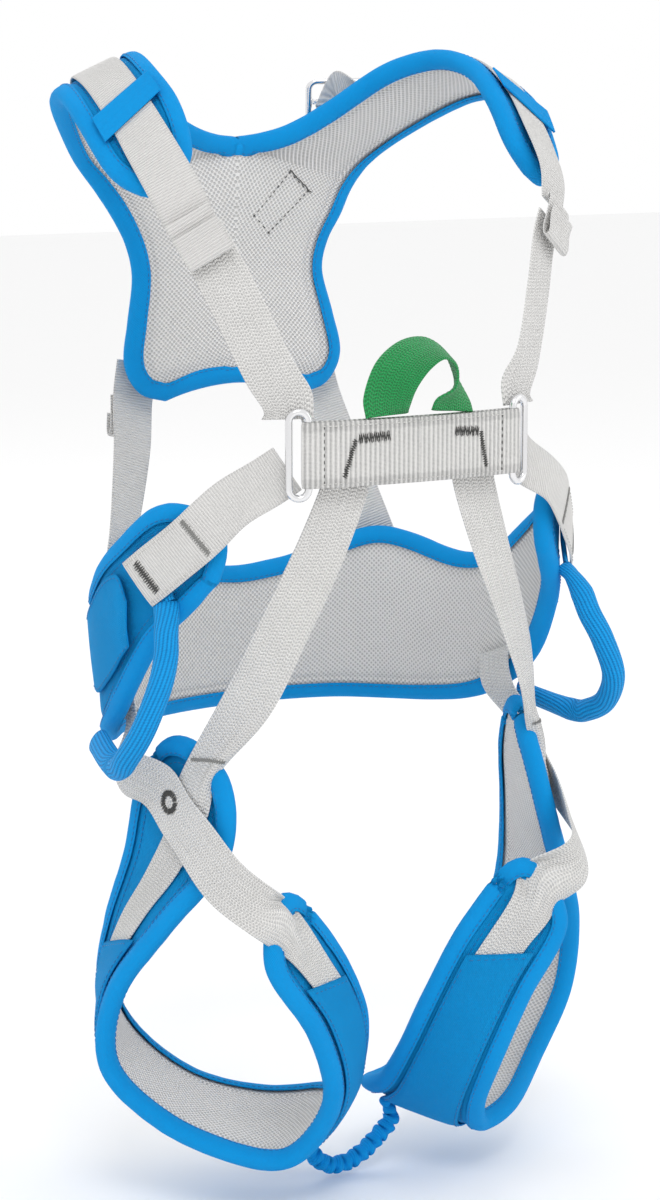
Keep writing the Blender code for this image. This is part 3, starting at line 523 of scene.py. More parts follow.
def tape_mesh(pad, path, half, seed):
    """Stretch tape folded round the edge, seen in section as a rounded channel."""
    border = pad.border(path, half)
    spots, along, outward, normals = border
    lines = []
    profile = list(TAPE_PROFILE) + [(a, -b) for a, b in TAPE_PROFILE[::-1]]
    for reach, lift in profile:
        if reach > 0:
            base, normal = pad.inside(path, border, reach)
            if half:
                base[[0, -1], 0] = 0
        else:
            base, normal = spots - outward * reach, normals
        ease = 0.4 if lift < 0 and reach > 0 else 0.0
        puff = wrinkle(base, 6.0, seed + 3) * 0.16
        if half:
            normal[[0, -1], 0] = 0
        lines.append(base + unit(normal) * (lift - ease + np.sign(lift) * puff)[:, None])
    middle = np.stack(lines, axis=1)
    across = np.gradient(middle, axis=1)
    skin = unit(np.cross(np.repeat(along[:, None], len(profile), 1), across))
    if half:
        skin[[0, -1], :, 0] = 0
        skin = unit(skin)
    marks = measures(middle)
    return slab(middle + skin * TAPE_THICK / 2, middle - skin * TAPE_THICK / 2, marks,
                closed=not half, caps=False)


back_pad = Pad(back_edges, 0.0, ARM_END, mm(0, 0, 150))
pad_paths = {"back_pad": pad_pieces(back_pad, "back_pad", "back_pad", half=True, seed=1.0)}

# ---- waist belt ----
# A padded band round the hips, high at the back and at the two front lobes, made like the back
# pad.
BELT_PLAN = [mm(-35, 81.5, 0), mm(0, 86, 0), mm(35, 81.5, 0), mm(66, 69, 0), mm(90, 48, 0),
             mm(105, 22, 0), mm(109, -4, 0), mm(102, -26, 0), mm(88, -43, 0), mm(72, -55, 0)]
# (place along the plan line, height of the lower edge, height of the upper edge)
BELT_EDGES = np.array(((0.0, -60, 0), (0.8, -60, 4), (1.4, -60, 12), (2.0, -61, 18),
                       (2.6, -61, 13), (3.1, -60, 6.5), (3.6, -58, 5.5), (4.05, -53, 11),
                       (4.6, -44, 24), (5.0, -35, 31), (5.35, -25, 37), (5.75, -12, 46),
                       (6.15, -1, 52), (6.6, 8, 53), (7.0, 17, 50), (7.25, 25, 46)))
BELT_END = 7.25
BELT_TIP = (7.42, 37.0)
BELT_LEAN = 6.0              # how far the sides come in at the lower edge


def belt_point(place, height):
    place, height = np.broadcast_arrays(np.asarray(place, float), height)
    spot = curve_at(BELT_PLAN, np.abs(place) + 1)
    share = np.clip((np.abs(place) - 1.8) / 1.6, 0, 1)
    lean = BELT_LEAN * np.maximum(-height, 0) / 60 * share * share * (3 - 2 * share)
    side = np.where(place < 0, -1.0, 1.0)
    return np.stack([(spot[..., 0] - lean) * side, spot[..., 1], height], axis=-1)


def belt_edge(place, column):
    """Height of the lower (1) or upper (2) edge: straight steps eased into a smooth line."""
    spots = np.abs(place)[..., None] + np.linspace(-0.22, 0.22, 5)
    return np.interp(np.abs(spots), BELT_EDGES[:, 0], BELT_EDGES[:, column]).mean(axis=-1)


def belt_edges(s):
    low = belt_point(s, belt_edge(s, 1))
    high = belt_point(s, belt_edge(s, 2))
    tip = belt_point(np.where(s < 0, -BELT_TIP[0], BELT_TIP[0]), BELT_TIP[1])
    near_tip = np.clip((np.abs(s) - BELT_END + 0.25) / 0.25, 0, 1)[..., None] ** 2
    return low, (low + high) / 2 * (1 - near_tip) + tip * near_tip, high


belt = Pad(belt_edges, -BELT_END, BELT_END, mm(0, 0, 0))
pad_paths["belt"] = pad_pieces(belt, "belt", "belt", seed=2.0)


def on_belt(place, height, lift):
    """Points and level normals over the belt, for the wearer's left half."""
    spot = belt_point(place, height)
    along = belt_point(np.asarray(place) + 0.05, height) - belt_point(np.asarray(place) - 0.05, height)
    normal = unit(np.cross(along, (0, 0, -1)))
    return spot + normal * np.asarray(lift, float)[..., None], normal


def over_belt(place, height, lift, turn, width=22.0):
    """Five points of a strap lying over the belt; `turn` is its cross direction's slope."""
    pitch = np.linalg.norm(belt_point(place + 0.1, 0) - belt_point(place - 0.1, 0)) / 0.2
    steps = np.linspace(-1, 1, 5) * width / 2
    return on_belt(place + steps * math.cos(turn) / pitch, height + steps * math.sin(turn), lift)[0]


# ---- leg loops ----
# Each is one padded band that hangs like a U from the outer thigh, under it and up to the inner
# side. A blue outer sleeve takes the webbing.
LEG_FRONT = [mm(88, -19, -52), mm(79, -45, -66), mm(84, -53, -97), mm(103, -37, -128),
             mm(120, -21, -160), mm(121, -14, -195), mm(99, -23, -222), mm(73, -42, -236),
             mm(52, -50, -240), mm(42, -62, -225), mm(42, -75, -202), mm(54, -80, -172),
             mm(74, -79, -140), mm(61, -67, -115)]
LEG_REAR = [mm(88, -19, -52), mm(95, -1, -74), mm(99, 4, -104), mm(104, 15, -139),
            mm(101, 27, -171), mm(85, 30, -198), mm(62, 18, -218), mm(35, 3, -226),
            mm(13, -12, -224), mm(10, -32, -216), mm(12, -46, -198), mm(18, -57, -172),
            mm(36, -62, -139), mm(61, -67, -115)]
LEG_HEART = mm(62, -20, -150)
LEG_RING = LEG_FRONT + LEG_REAR[-2:0:-1]
LEG_LAST = len(LEG_FRONT) - 1
LEG_FIRST_ROW = 0.5
LEG_LAST_ROW = LEG_LAST - 0.5


def leg_edges(s):
    low = curve_at(LEG_RING, s, closed=True)
    high = curve_at(LEG_RING, 2 * LEG_LAST - s, closed=True)
    middle = (low + high) / 2
    for end, tip in ((LEG_FIRST_ROW, LEG_FRONT[0]), (LEG_LAST_ROW, LEG_FRONT[-1])):
        near_tip = np.clip(1 - np.abs(s - end) / 0.32, 0, 1)[..., None] ** 2
        middle = middle * (1 - near_tip) + tip * near_tip
    return low, middle, high


leg_pad = Pad(leg_edges, LEG_FIRST_ROW, LEG_LAST_ROW, LEG_HEART)
SLEEVE_FROM, SLEEVE_TO = 3.3, 11.55
SLEEVE_LIFT = 5.6
# (share across the pad, lift)
SLEEVE_COLUMNS = ((0.165, 4.35), (0.2, 5.0), (0.26, SLEEVE_LIFT), (0.38, SLEEVE_LIFT + 0.2),
                  (0.5, SLEEVE_LIFT + 0.25), (0.62, SLEEVE_LIFT + 0.2), (0.74, SLEEVE_LIFT),
                  (0.8, 5.0), (0.835, 4.35))
CLOTH_THICK = 0.8


def add_sheet(name, grid, thick, finish, node, rests_on, side):
    """A sheet of even thickness round a grid of points."""
    normals = unit(np.cross(np.gradient(grid, axis=0), np.gradient(grid, axis=1)))
    marks = measures(grid)
    mesh = slab(grid + normals * thick / 2, grid - normals * thick / 2, marks)
    steps = np.linalg.norm(np.diff(grid, axis=0), axis=2).sum(axis=0)
    cells = np.cross(np.diff(grid, axis=1)[:-1], np.diff(grid, axis=0)[:, :-1])
    made = add_piece(name, mesh, finish, nodes=(node,), side=side)
    float(np.linalg.norm(cells, axis=2).sum()) / 1e6


for side_name, side in SIDES:
    name = side_name + "_leg_pad"
    pad_paths[name] = pad_pieces(leg_pad, name, name, side=side, seed=4.0 + side)
    rows = np.linspace(SLEEVE_FROM, SLEEVE_TO, 120)
    shares, lifts = np.array(SLEEVE_COLUMNS).T
    fine = np.linspace(0, len(shares) - 1, 33)
    shares = np.interp(fine, np.arange(len(shares)), shares)
    lifts = np.interp(fine, np.arange(len(lifts)), lifts)
    grid, normals = leg_pad.place(rows[:, None], shares[None], lifts[None])
    slack = np.sin(np.clip((shares - 0.2) / 0.6, 0, 1) * math.pi)[None] * 0.5
    grid = grid + normals * ((wrinkle(grid, 16.0, 11.0 + side) * slack)[..., None])
    add_sheet(side_name + "_leg_sleeve_cloth", grid, CLOTH_THICK, BLUE, side_name + "_leg_sleeve",
              name + "_face", side)

# ---- steel rings ----
# A bent and welded wire oval at each end of the bridge; the webbing turns round its two bars.
RING_CENTRE = mm(55, -69, 77)
RING_TURN = math.radians(21)
RING_OUT = mm(math.cos(RING_TURN), math.sin(RING_TURN), 0)
RING_FACE = mm(math.sin(RING_TURN), -math.cos(RING_TURN), 0)
UP = mm(0, 0, 1)
RING_ROD = 3.2
RING_WIDTH = 11.6
RING_HEIGHT = 40.0
RING_BAR = (RING_WIDTH - RING_ROD) / 2
RING_STRAIGHT = RING_HEIGHT / 2 - RING_WIDTH / 2


def polished_steel():
    made = Finish("polished_steel", 0.16, metal=1.0)
    smudge = made.grain(260.0, 4.0)
    fine = made.grain(1500.0, 2.0)
    made.shader.inputs["Base Color"].default_value = (0.78, 0.78, 0.79, 1.0)
    return made.link(None, fine + smudge * 0.5, 0.00002, 0.1 + smudge * 0.16)


STEEL = polished_steel()


def round_rod(points, radii, closed=False, sides=16, wides=None):
    """A rod, tube or cord through points; `radii` may give its half width and half thickness."""
    points = np.asarray(points, float)
    count = len(points)
    radii = np.broadcast_to(np.asarray(radii, float), (count, 2))
    if closed:
        along = unit(np.roll(points, -1, 0) - np.roll(points, 1, 0))
    else:
        along = unit(np.gradient(points, axis=0))
    if wides is None:
        wide = unit(np.cross(along[0], (0.3, 0.2, 0.93)))
        wides = []
        for way in along:
            wide = unit(wide - way * np.dot(wide, way))
            wides.append(wide)
    wides = unit(np.asarray(wides) - along * np.sum(np.asarray(wides) * along, axis=1)[:, None])
    outs = np.cross(along, wides)
    turns = np.arange(sides) * 2 * math.pi / sides
    rings = (points[:, None] + wides[:, None] * (np.cos(turns)[None] * radii[:, :1])[..., None]
             + outs[:, None] * (np.sin(turns)[None] * radii[:, 1:])[..., None])
    lengths = lengths_along(points)
    faces = []
    for i in range(count if closed else count - 1):
        n = (i + 1) % count
        for k in range(sides):
            m = (k + 1) % sides
            faces.append((i * sides + k, i * sides + m, n * sides + m, n * sides + k))
    if not closed:
        faces.append(tuple(range(sides))[::-1])
        faces.append(tuple((count - 1) * sides + k for k in range(sides)))
    mesh = bpy.data.meshes.new("rod")
    mesh.from_pydata((rings.reshape(-1, 3) / 1000).tolist(), [], faces)
    layer = mesh.uv_layers.new(name="cloth")
    for face in mesh.polygons:
        wraps = len(face.vertices) == 4 and any(v % sides == sides - 1 for v in face.vertices)
        for corner in face.loop_indices:
            i, k = divmod(mesh.loops[corner].vertex_index, sides)
            turn = 1.0 if wraps and k == 0 else k / sides
            layer.data[corner].uv = (turn, lengths[i])
    return mesh


turns = np.linspace(0, math.pi, 21)
for side_name, side in SIDES:
    points = []
    for end in (1, -1):
        for turn in turns:
            points.append(RING_CENTRE + RING_OUT * math.cos(turn) * RING_BAR * end
                          + UP * end * (RING_STRAIGHT + math.sin(turn) * RING_BAR))
    add_piece(side_name + "_ring_steel", round_rod(points, RING_ROD / 2, closed=True), STEEL,
              nodes=(side_name + "_ring",), side=side)

# ---- webbing ----
# Woven polyester tape. The strap and hip lengths are cross-ribbed; the bridge, thigh and
# crossing lengths have a coarser dotted twill.
WEB_WIDTH = 22.0
WEB_THICK = 1.2


def ribbed_webbing(name, light, dark, pitch=1.25):
    made = Finish(name, 0.62, sheen=0.2)
    across, along = made.cloth()
    thread = (across * (2 * math.pi / 0.55)).sine()
    rib = (along * (2 * math.pi / pitch)).sine()
    drift = made.grain(70.0, 4.0)
    fuzz = made.grain(1600.0, 2.0)
    border = 1 - across.size().step(9.2, 10.6) * 0.25
    tone = rib * 0.2 + thread * 0.1 + drift * 0.2 + fuzz * 0.2 + 0.3
    return made.link(made.blend((tone * border).step(0.0, 0.7), dark, light),
                     thread * 0.5 + fuzz + rib * 0.8, 0.00022, 0.58 + fuzz * 0.2)


def dotted_webbing(name, light, dark, pitch=1.6):
    """Twill whose floats stand up as short slanted grains."""
    made = Finish(name, 0.62, sheen=0.2)
    across, along = made.cloth()
    slant = along * (2 * math.pi / pitch) + (across * (math.pi / 1.9)).sine() * 1.9
    cells = slant.sine() * 0.6 + (across * (2 * math.pi / 1.05)).sine() * 0.4
    drift = made.grain(70.0, 4.0)
    fuzz = made.grain(1600.0, 2.0)
    tone = cells * 0.3 + drift * 0.2 + fuzz * 0.2 + 0.3
    return made.link(made.blend(tone.step(0.0, 0.75), dark, light), cells + fuzz * 0.6, 0.0004,
                     0.58 + fuzz * 0.2)


RIBBED = ribbed_webbing("ribbed_webbing", (0.84, 0.83, 0.81), (0.56, 0.555, 0.55))
DOTTED = dotted_webbing("dotted_webbing", (0.84, 0.83, 0.81), (0.50, 0.50, 0.495))
CORDED = ribbed_webbing("corded_webbing", (0.86, 0.85, 0.83), (0.30, 0.30, 0.30), pitch=2.3)
GREEN = dotted_webbing("green_webbing", (0.0, 0.36, 0.08), (0.0, 0.13, 0.025), pitch=1.3)


class Strap:
    """A woven strap from stops along it: (point, outward normal) or five points on a pad."""

    def __init__(self, stops, width=WEB_WIDTH, thick=WEB_THICK, closed=False, away=None,
                 rib=0.09, pitch=1.25, step=0.42, ease=0.0):
        centres = [stop[0] if isinstance(stop, tuple) else stop[2] for stop in stops]
        last = len(stops) - 1
        rows = []
        for i, stop in enumerate(stops):
            if isinstance(stop, tuple):
                before = centres[i - 1] if (i > 0 or closed) else centres[i]
                after = centres[(i + 1) % len(stops)] if (i < last or closed) else centres[i]
                half = unit(np.cross(after - before, stop[1])) * width / 2
                row = centres[i] + half * np.linspace(-1, 1, 5)[:, None]
            else:
                row = np.array(stop)
            if rows and np.dot(row[4] - row[0], rows[-1][4] - rows[-1][0]) < 0:
                row = row[::-1]
            rows.append(row)
        rows = np.array(rows)
        span = len(rows) if closed else len(rows) - 1
        rough = np.linspace(0, span, span * 24 + 1)
        line = curve_at(rows[:, 2], rough, closed)
        lengths = lengths_along(line)
        count = max(int(lengths[-1] / step), 6)
        wanted = np.linspace(0, lengths[-1], count + 1)
        if closed:
            wanted = wanted[:-1]
        places = np.interp(wanted, lengths, rough)
        grid = curve_at(rows, places, closed)
        self.shares = np.array([-1, -0.96, -0.86, -0.72, -0.45, 0, 0.45, 0.72, 0.86, 0.96, 1])
        grid = curve_at(np.swapaxes(grid, 0, 1), (self.shares + 1) * 2)
        self.grid = np.swapaxes(grid, 0, 1)
        reach = int(ease / step)
        for _ in range(2 if reach else 0):
            longer = np.pad(self.grid, ((reach, reach), (0, 0), (0, 0)), mode="reflect",
                            reflect_type="odd")
            total = np.cumsum(np.concatenate([longer[:1] * 0, longer]), axis=0)
            self.grid = (total[2 * reach + 1:] - total[:-2 * reach - 1]) / (2 * reach + 1)
        self.lengths = wanted
        self.closed = closed
        if closed:
            run = np.roll(self.grid, -1, 0) - np.roll(self.grid, 1, 0)
        else:
            run = np.gradient(self.grid, axis=0)
        self.runs = unit(run)
        self.normals = unit(np.cross(run, np.gradient(self.grid, axis=1)))
        target = mm(0, 0, 0) if away is None else away
        level = self.grid[:, 5] - target
        if away is None:
            level[:, 2] = 0
        if np.mean(np.sum(self.normals[:, 5] * level, axis=1)) < 0:
            self.normals = -self.normals
        edge = 1 - 0.6 * np.abs(self.shares) ** 14
        ridge = rib * np.sin(wanted * 2 * math.pi / pitch)[:, None] * (1 - np.abs(self.shares) ** 20)
        self.half = thick / 2 * edge[None] + ridge
        self.thick = thick
        self.width = width

    def mesh(self):
        marks = np.stack(np.broadcast_arrays(self.shares[None] * self.width / 2,
                                             self.lengths[:, None]), axis=-1)
        return slab(self.grid + self.normals * self.half[..., None],
                    self.grid - self.normals * self.half[..., None], marks, closed=self.closed)

    def mark(self, along, across, lift=0.0):
        """Point, run direction, cross direction and normal at a distance along and a share across."""
        i = int(np.argmin(np.abs(self.lengths - along)))
        spot = np.array([np.interp(across, self.shares, self.grid[i, :, k]) for k in range(3)])
        normal = unit(np.array([np.interp(across, self.shares, self.normals[i, :, k])
                                for k in range(3)]))
        cross = unit(self.grid[i, -1] - self.grid[i, 0])
        return spot + normal * (self.thick / 2 + lift), self.runs[i, 5], cross, normal


straps = {}
TWILL = {"rib": 0.1, "pitch": 1.7}   # height and pitch of the dotted webbing's ribs
FOLD = {"width": WEB_WIDTH - 0.6, "thick": WEB_THICK - 0.2}   # a strap's sewn-back end


def add_strap(name, strap, finish, body="harness", side=1):
    straps[name] = strap
    return add_piece(name + "_webbing", strap.mesh(), finish, body=body, nodes=(name,),
                     side=side)


# the bridge: a flat loop of webbing that turns round each ring's inner bar
BRIDGE_HEIGHT = 28.0
BRIDGE_BOW = -4.0
BAR_LOOP = RING_ROD / 2 + GAP + WEB_THICK / 2
inner_bar = RING_CENTRE - RING_OUT * RING_BAR
outer_bar = RING_CENTRE + RING_OUT * RING_BAR


def bridge_front(x):
    return inner_bar[1] + BRIDGE_BOW * (1 - (abs(x) / inner_bar[0]) ** 2)


route = []
for share in np.arange(6) / 6:
    lean = unit(mm(0.25 * share, -1, 0))
    spot = mm(inner_bar[0] * share, bridge_front(inner_bar[0] * share), inner_bar[2])
    route.append((spot + lean * BAR_LOOP, lean))
for turn in np.linspace(0, math.pi, 9):
    lean = unit(mm(math.sin(turn) + 0.2 * math.cos(turn), -math.cos(turn), 0))
    route.append((inner_bar + lean * BAR_LOOP, lean))
for share in np.arange(6)[::-1] / 6:
    lean = unit(mm(-0.25 * share, 1, 0))
    spot = mm(inner_bar[0] * share, bridge_front(inner_bar[0] * share), inner_bar[2])
    route.append((spot + lean * BAR_LOOP, lean))
flip = mm(-1, 1, 1)
route += [(spot * flip, lean * flip) for spot, lean in route[-2:0:-1]]
bridge = Strap(route, BRIDGE_HEIGHT, closed=True, rib=0.24, pitch=2.3)
add_strap("bridge_band", bridge, CORDED)

# the green tie-in loop, with its tails sewn between the bridge's plies
BRIDGE_TOP = inner_bar[2] + BRIDGE_HEIGHT / 2
BRIDGE_FRONT = inner_bar[1] + BRIDGE_BOW
LOOP_FOOT = BRIDGE_TOP + 1.2
LOOP_WIDTH = 21.0
LOOP_THICK = 1.6
LOOP_STOPS = ((-15, 0.0, 0, (0, -1, 0)), (-15.5, -0.5, 6, (-0.25, -0.97, 0)),
              (-11, -1, 17, (-0.6, -0.75, 0.25)), (-2, -1, 25, (-0.45, -0.55, 0.7)),
              (8, -1, 27.5, (0.05, -0.35, 0.93)), (16, -1, 22, (0.7, -0.35, 0.6)),
              (19, -0.5, 12, (0.8, -0.55, 0.1)), (18, 0, 5, (0.3, -0.95, 0)),
              (17.5, 0, 0, (0, -1, 0)))
stops = [(mm(x, BRIDGE_FRONT + y, LOOP_FOOT + z), unit(normal)) for x, y, z, normal in LOOP_STOPS]
add_strap("tie_in_loop", Strap(stops, LOOP_WIDTH, LOOP_THICK, rib=0.12, pitch=1.5), GREEN,
          body="tie_in_loop")
for tail_name, x in (("tie_in_loop_tail_right", -15.0), ("tie_in_loop_tail_left", 17.5)):
    stops = [(mm(x, bridge_front(x), BRIDGE_TOP - 0.5), mm(0, -1, 0)),
             (mm(x, bridge_front(x), BRIDGE_TOP - 12), mm(0, -1, 0))]
    add_strap(tail_name, Strap(stops, LOOP_WIDTH, LOOP_THICK, rib=0.1), GREEN)

# shoulder webbing: round the rear adjuster's bar, over the crest, down in front to a sewn fold
STRAP_ON_COVER = 4.3
STRAP_ON_TAPE = 5.9
ARM_MIDDLE = 0.5
ARM_ROWS = 30                # the shoulder arm's last row; rows are half steps along the pad
FRONT_OUT = unit(mm(0.5, -0.86, 0))
BEHIND_RING = RING_ROD / 2 + SOFT_GAP + WEB_THICK / 2
SHOULDER_FREE = [mm(91, -39.5, 176), mm(83, -45, 160), mm(75, -53, 139), mm(65, -61, 113)]
# (row, lift above lying on the cover)
SHOULDER_ROWS = ((17, 1.6), (18, 1.0), (19, 0.6), (21, 0.4), (23, 0.3), (25, 0.3), (27, 1.8))
OVER_TIP = mm(95.5, -32.5, 190)
ADJUSTER_CENTRE = mm(61, 97, 219)
ADJUSTER_ACROSS = unit(mm(0.92, -0.38, 0))
ADJUSTER_UP = mm(0.10, -0.12, 0.98)
ADJUSTER_UP = unit(ADJUSTER_UP - ADJUSTER_ACROSS * np.dot(ADJUSTER_UP, ADJUSTER_ACROSS))
ADJUSTER_OUT = unit(np.cross(ADJUSTER_UP, ADJUSTER_ACROSS))
if ADJUSTER_OUT[1] < 0:
    ADJUSTER_OUT = -ADJUSTER_OUT
ADJUSTER_WIDTH, ADJUSTER_HEIGHT, ADJUSTER_ROD = 32.0, 22.0, 3.0
ADJUSTER_CORNER = 4.0
SHOULDER_FOLD = ((1.0, 2.0), (-1.0, 2.9), (1.0, 3.9), (8.0, 3.9), (15.0, 3.7), (19.0, 4.7),
                 (19.5, 6.3), (17.0, 7.2), (10.0, 6.3), (5.0, 6.7))
BACK_FOLD = ((0.0, 0.6), (8.0, 0.3), (15.0, 0.4), (19.5, 1.8), (17.0, 3.4), (9.0, 3.2))


def arm_s(row):
    return (row + 2) / 2


def folded_end(origin, down, outward, fold):
    """Stops of a strap end doubled back on itself; fold is (distance down, distance out)."""
    stops = []
    for i, (a, b) in enumerate(fold):
        before, after = fold[max(i - 1, 0)], fold[min(i + 1, len(fold) - 1)]
        along = down * (after[0] - before[0]) + outward * (after[1] - before[1])
        stops.append((origin + down * a + outward * b,
                      unit(np.cross(along, np.cross(down, outward)))))
    return stops


down = unit(SHOULDER_FREE[1] - SHOULDER_FREE[0])
fold_out = unit(FRONT_OUT - down * np.dot(FRONT_OUT, down))
for side_name, side in SIDES:
    rod = ADJUSTER_ROD / 2
    half_wide, half_tall = ADJUSTER_WIDTH / 2 - rod, ADJUSTER_HEIGHT / 2 - rod
    points = []
    for quarter, (sx, sy) in enumerate(((1, 1), (-1, 1), (-1, -1), (1, -1))):
        for k in range(9):
            turn = math.pi / 2 * (quarter + k / 8)
            a = sx * (half_wide - ADJUSTER_CORNER) + math.cos(turn) * ADJUSTER_CORNER
            b = sy * (half_tall - ADJUSTER_CORNER) + math.sin(turn) * ADJUSTER_CORNER
            points.append(ADJUSTER_CENTRE + ADJUSTER_ACROSS * a + ADJUSTER_UP * b)
    add_piece(side_name + "_adjuster_frame_steel", round_rod(points, rod, closed=True), STEEL,
              body=side_name + "_adjuster_frame", nodes=(side_name + "_adjuster_frame",),
              side=side)
    reach = half_wide - rod - GAP
    bar = [ADJUSTER_CENTRE + ADJUSTER_ACROSS * t for t in np.linspace(reach, -reach, 9)]
    add_piece(side_name + "_adjuster_bar_steel", round_rod(bar, rod), STEEL,
              nodes=(side_name + "_adjuster_bar",), side=side)

    stops = []
    turn_radius = rod + SOFT_GAP + WEB_THICK / 2
    for turn in np.linspace(math.pi, 0, 5):
        lean = -ADJUSTER_OUT * math.cos(turn) - ADJUSTER_UP * math.sin(turn)
        stops.append((ADJUSTER_CENTRE + lean * turn_radius, -lean))
    stops.append((ADJUSTER_CENTRE + ADJUSTER_UP * 4 - ADJUSTER_OUT * 5, ADJUSTER_OUT))
    for row, extra in SHOULDER_ROWS:
        stops.append(back_pad.laid(arm_s(row), ARM_MIDDLE, STRAP_ON_COVER + extra))
    stops.append((OVER_TIP, unit(mm(0.5, -0.82, 0.28))))
    stops.append((SHOULDER_FREE[0], FRONT_OUT))
    add_strap(side_name + "_shoulder_strap", Strap(stops), RIBBED, side=side)

    ring_top = outer_bar + UP * 15 - RING_FACE * (BEHIND_RING + 0.4)
    stops = [(SHOULDER_FREE[0] + down * 7.0, FRONT_OUT)]
    stops += [(point, FRONT_OUT) for point in SHOULDER_FREE[1:]]
    stops += [(ring_top + UP * 8 - RING_FACE * 1.2, RING_FACE), (ring_top, RING_FACE)]
    add_strap(side_name + "_lower_shoulder_strap", Strap(stops, **TWILL), DOTTED, side=side)
    stops = folded_end(SHOULDER_FREE[0], down, fold_out, SHOULDER_FOLD)
    add_strap(side_name + "_strap_fold", Strap(stops, **FOLD), RIBBED, side=side)

# elastic keeper across each shoulder flap, with lengthwise ribs
KEEPER_WIDTH = 12.5
KEEPER_THICK = 1.0
KEEPER_LIFT = STRAP_ON_COVER + 0.5 + WEB_THICK / 2 + SOFT_GAP + KEEPER_THICK / 2
keeper_s = arm_s(ARM_ROWS - 5)
for side_name, side in SIDES:
    half_s = KEEPER_WIDTH / 2 / back_pad.pitch(keeper_s, 0.5)
    across = np.linspace(0.07, 0.93, 90)
    steps = np.linspace(-1, 1, 25)
    bulge = 0.14 * np.abs(np.sin(steps * math.pi * 5))
    grid = back_pad.place(keeper_s + steps[None] * half_s, across[:, None],
                          KEEPER_LIFT + bulge[None] - 0.05)[0]
    add_sheet(side_name + "_keeper_band", grid, KEEPER_THICK, TAPE, side_name + "_keeper",
              "back_pad_face", side)

# back webbing: from the back pad's lower lobes down to the belt
BACK_STRAP = ((mm(46, 98.5, 101), (0.05, 1.0, 0)), (mm(49, 98.0, 84), (0.12, 1.0, 0)),
              (mm(53, 91, 64), (0.2, 1.0, 0)), (mm(59, 84, 42), (0.35, 0.94, 0)),
              (mm(65, 78.5, 22), (0.5, 0.87, 0)), (mm(71, 75.5, 5), (0.62, 0.78, 0)))
for side_name, side in SIDES:
    stops = [(point, unit(normal)) for point, normal in BACK_STRAP]
    add_strap(side_name + "_back_strap", Strap(stops), RIBBED, side=side)
    out = unit(BACK_STRAP[1][1])
    top = BACK_STRAP[1][0] + out * (WEB_THICK + 1.0)
    way = unit(BACK_STRAP[2][0] - BACK_STRAP[1][0])
    stops = folded_end(top, way, out, BACK_FOLD)
    add_strap(side_name + "_back_strap_fold", Strap(stops, **FOLD), RIBBED, side=side)

# hip webbing: from the rings down over the belt's front lobes
HIP_LINE = ((7.28, 48.5), (6.95, 41.5), (6.6, 34.5), (6.25, 27.5), (5.9, 20.5))
HIP_TURN = math.radians(-52)
FLAT_CORD = 2.4
FLAT_CORD_LIFT = FABRIC_TOP + SOFT_GAP + FLAT_CORD / 2
HIP_LIFT = FLAT_CORD_LIFT + FLAT_CORD / 2 + SOFT_GAP + WEB_THICK / 2
for side_name, side in SIDES:
    start = outer_bar - RING_FACE * (BEHIND_RING + 1.4) - UP * 6
    stops = [(start, RING_FACE), (start + mm(8, 4, -6), unit((0.42, -0.9, 0.1))),
             (mm(80, -56, 57), unit((0.55, -0.82, 0.15)))]
    for place, height in HIP_LINE:
        extra = 1.6 if place < 6.3 else 0.8
        stops.append(over_belt(place, height, HIP_LIFT + extra, HIP_TURN))
    add_strap(side_name + "_hip_strap", Strap(stops, ease=4.0), RIBBED, side=side)

# thigh webbing: from the bridge over the outer thigh into the leg loop's sleeve
LEG_FREE = ((mm(30, -69, 76), (0.09, -1.0, 0)), (mm(32, -68.4, 62), (0.1, -1.0, 0)),
            (mm(43, -65, 33), (0.25, -0.95, 0)), (mm(57, -60, 2), (0.45, -0.88, 0)),
            (mm(71, -53, -30), (0.65, -0.74, 0)))
# crossing webbing: from inside the belt over the thigh webbing to the front panel's sleeve
OVER_THIGH = STRAP_ON_TAPE + 0.8 + WEB_THICK + SOFT_GAP
CROSS_FREE = ((mm(90, -66, -104), (0.5, -0.86, 0.0)), (mm(81, -82, -114), (0.1, -0.99, 0.05)))
INSIDE_BELT = -(TAPE_TOP + 0.5 + SOFT_GAP + WEB_THICK / 2)
for side_name, side in SIDES:
    stops = [(point, unit(normal)) for point, normal in LEG_FREE]
    stops.append(leg_pad.laid(0.85, 0.14, STRAP_ON_TAPE + 0.8))
    stops.append(leg_pad.laid(1.5, 0.32, STRAP_ON_TAPE + 0.2))
    stops.append(leg_pad.laid(2.3, 0.47, STRAP_ON_COVER + 0.4))
    stops += [leg_pad.laid(s, 0.5, STRAP_ON_COVER) for s in (2.8, 3.3, 3.8, 4.3, 4.8)]
    add_strap(side_name + "_leg_strap", Strap(stops, **TWILL, ease=4.0), DOTTED, side=side)
    stops = [over_belt(4.3, -34, INSIDE_BELT - 1.0, math.radians(20)),
             over_belt(4.4, -47, INSIDE_BELT - 1.6, math.radians(30)),
             (mm(101, 4.5, -59.5), mm(1, -0.2, 0)), (mm(105, -3, -66.5), mm(1, -0.2, 0))]
    for s, across, extra in ((1.0, 0.6, 0.0), (1.4, 0.45, 0.0), (1.8, 0.18, 0.3)):
        stops.append(leg_pad.laid(s, across, OVER_THIGH + extra, math.radians(45)))
    stops += [(point, unit(normal)) for point, normal in CROSS_FREE]
    for s, across, extra, turn in ((12.5, 0.2, 2.4, 40), (12.15, 0.38, 1.4, 40),
                                   (11.75, 0.5, 0.2, 22), (11.35, 0.52, 0.0, 5),
                                   (10.9, 0.52, 0.0, 0)):
        stops.append(leg_pad.laid(s, across, STRAP_ON_COVER + 0.2 + extra, math.radians(turn)))
    add_strap(side_name + "_crossing_strap", Strap(stops, away=LEG_HEART, **TWILL, ease=6.0),
              DOTTED, side=side)

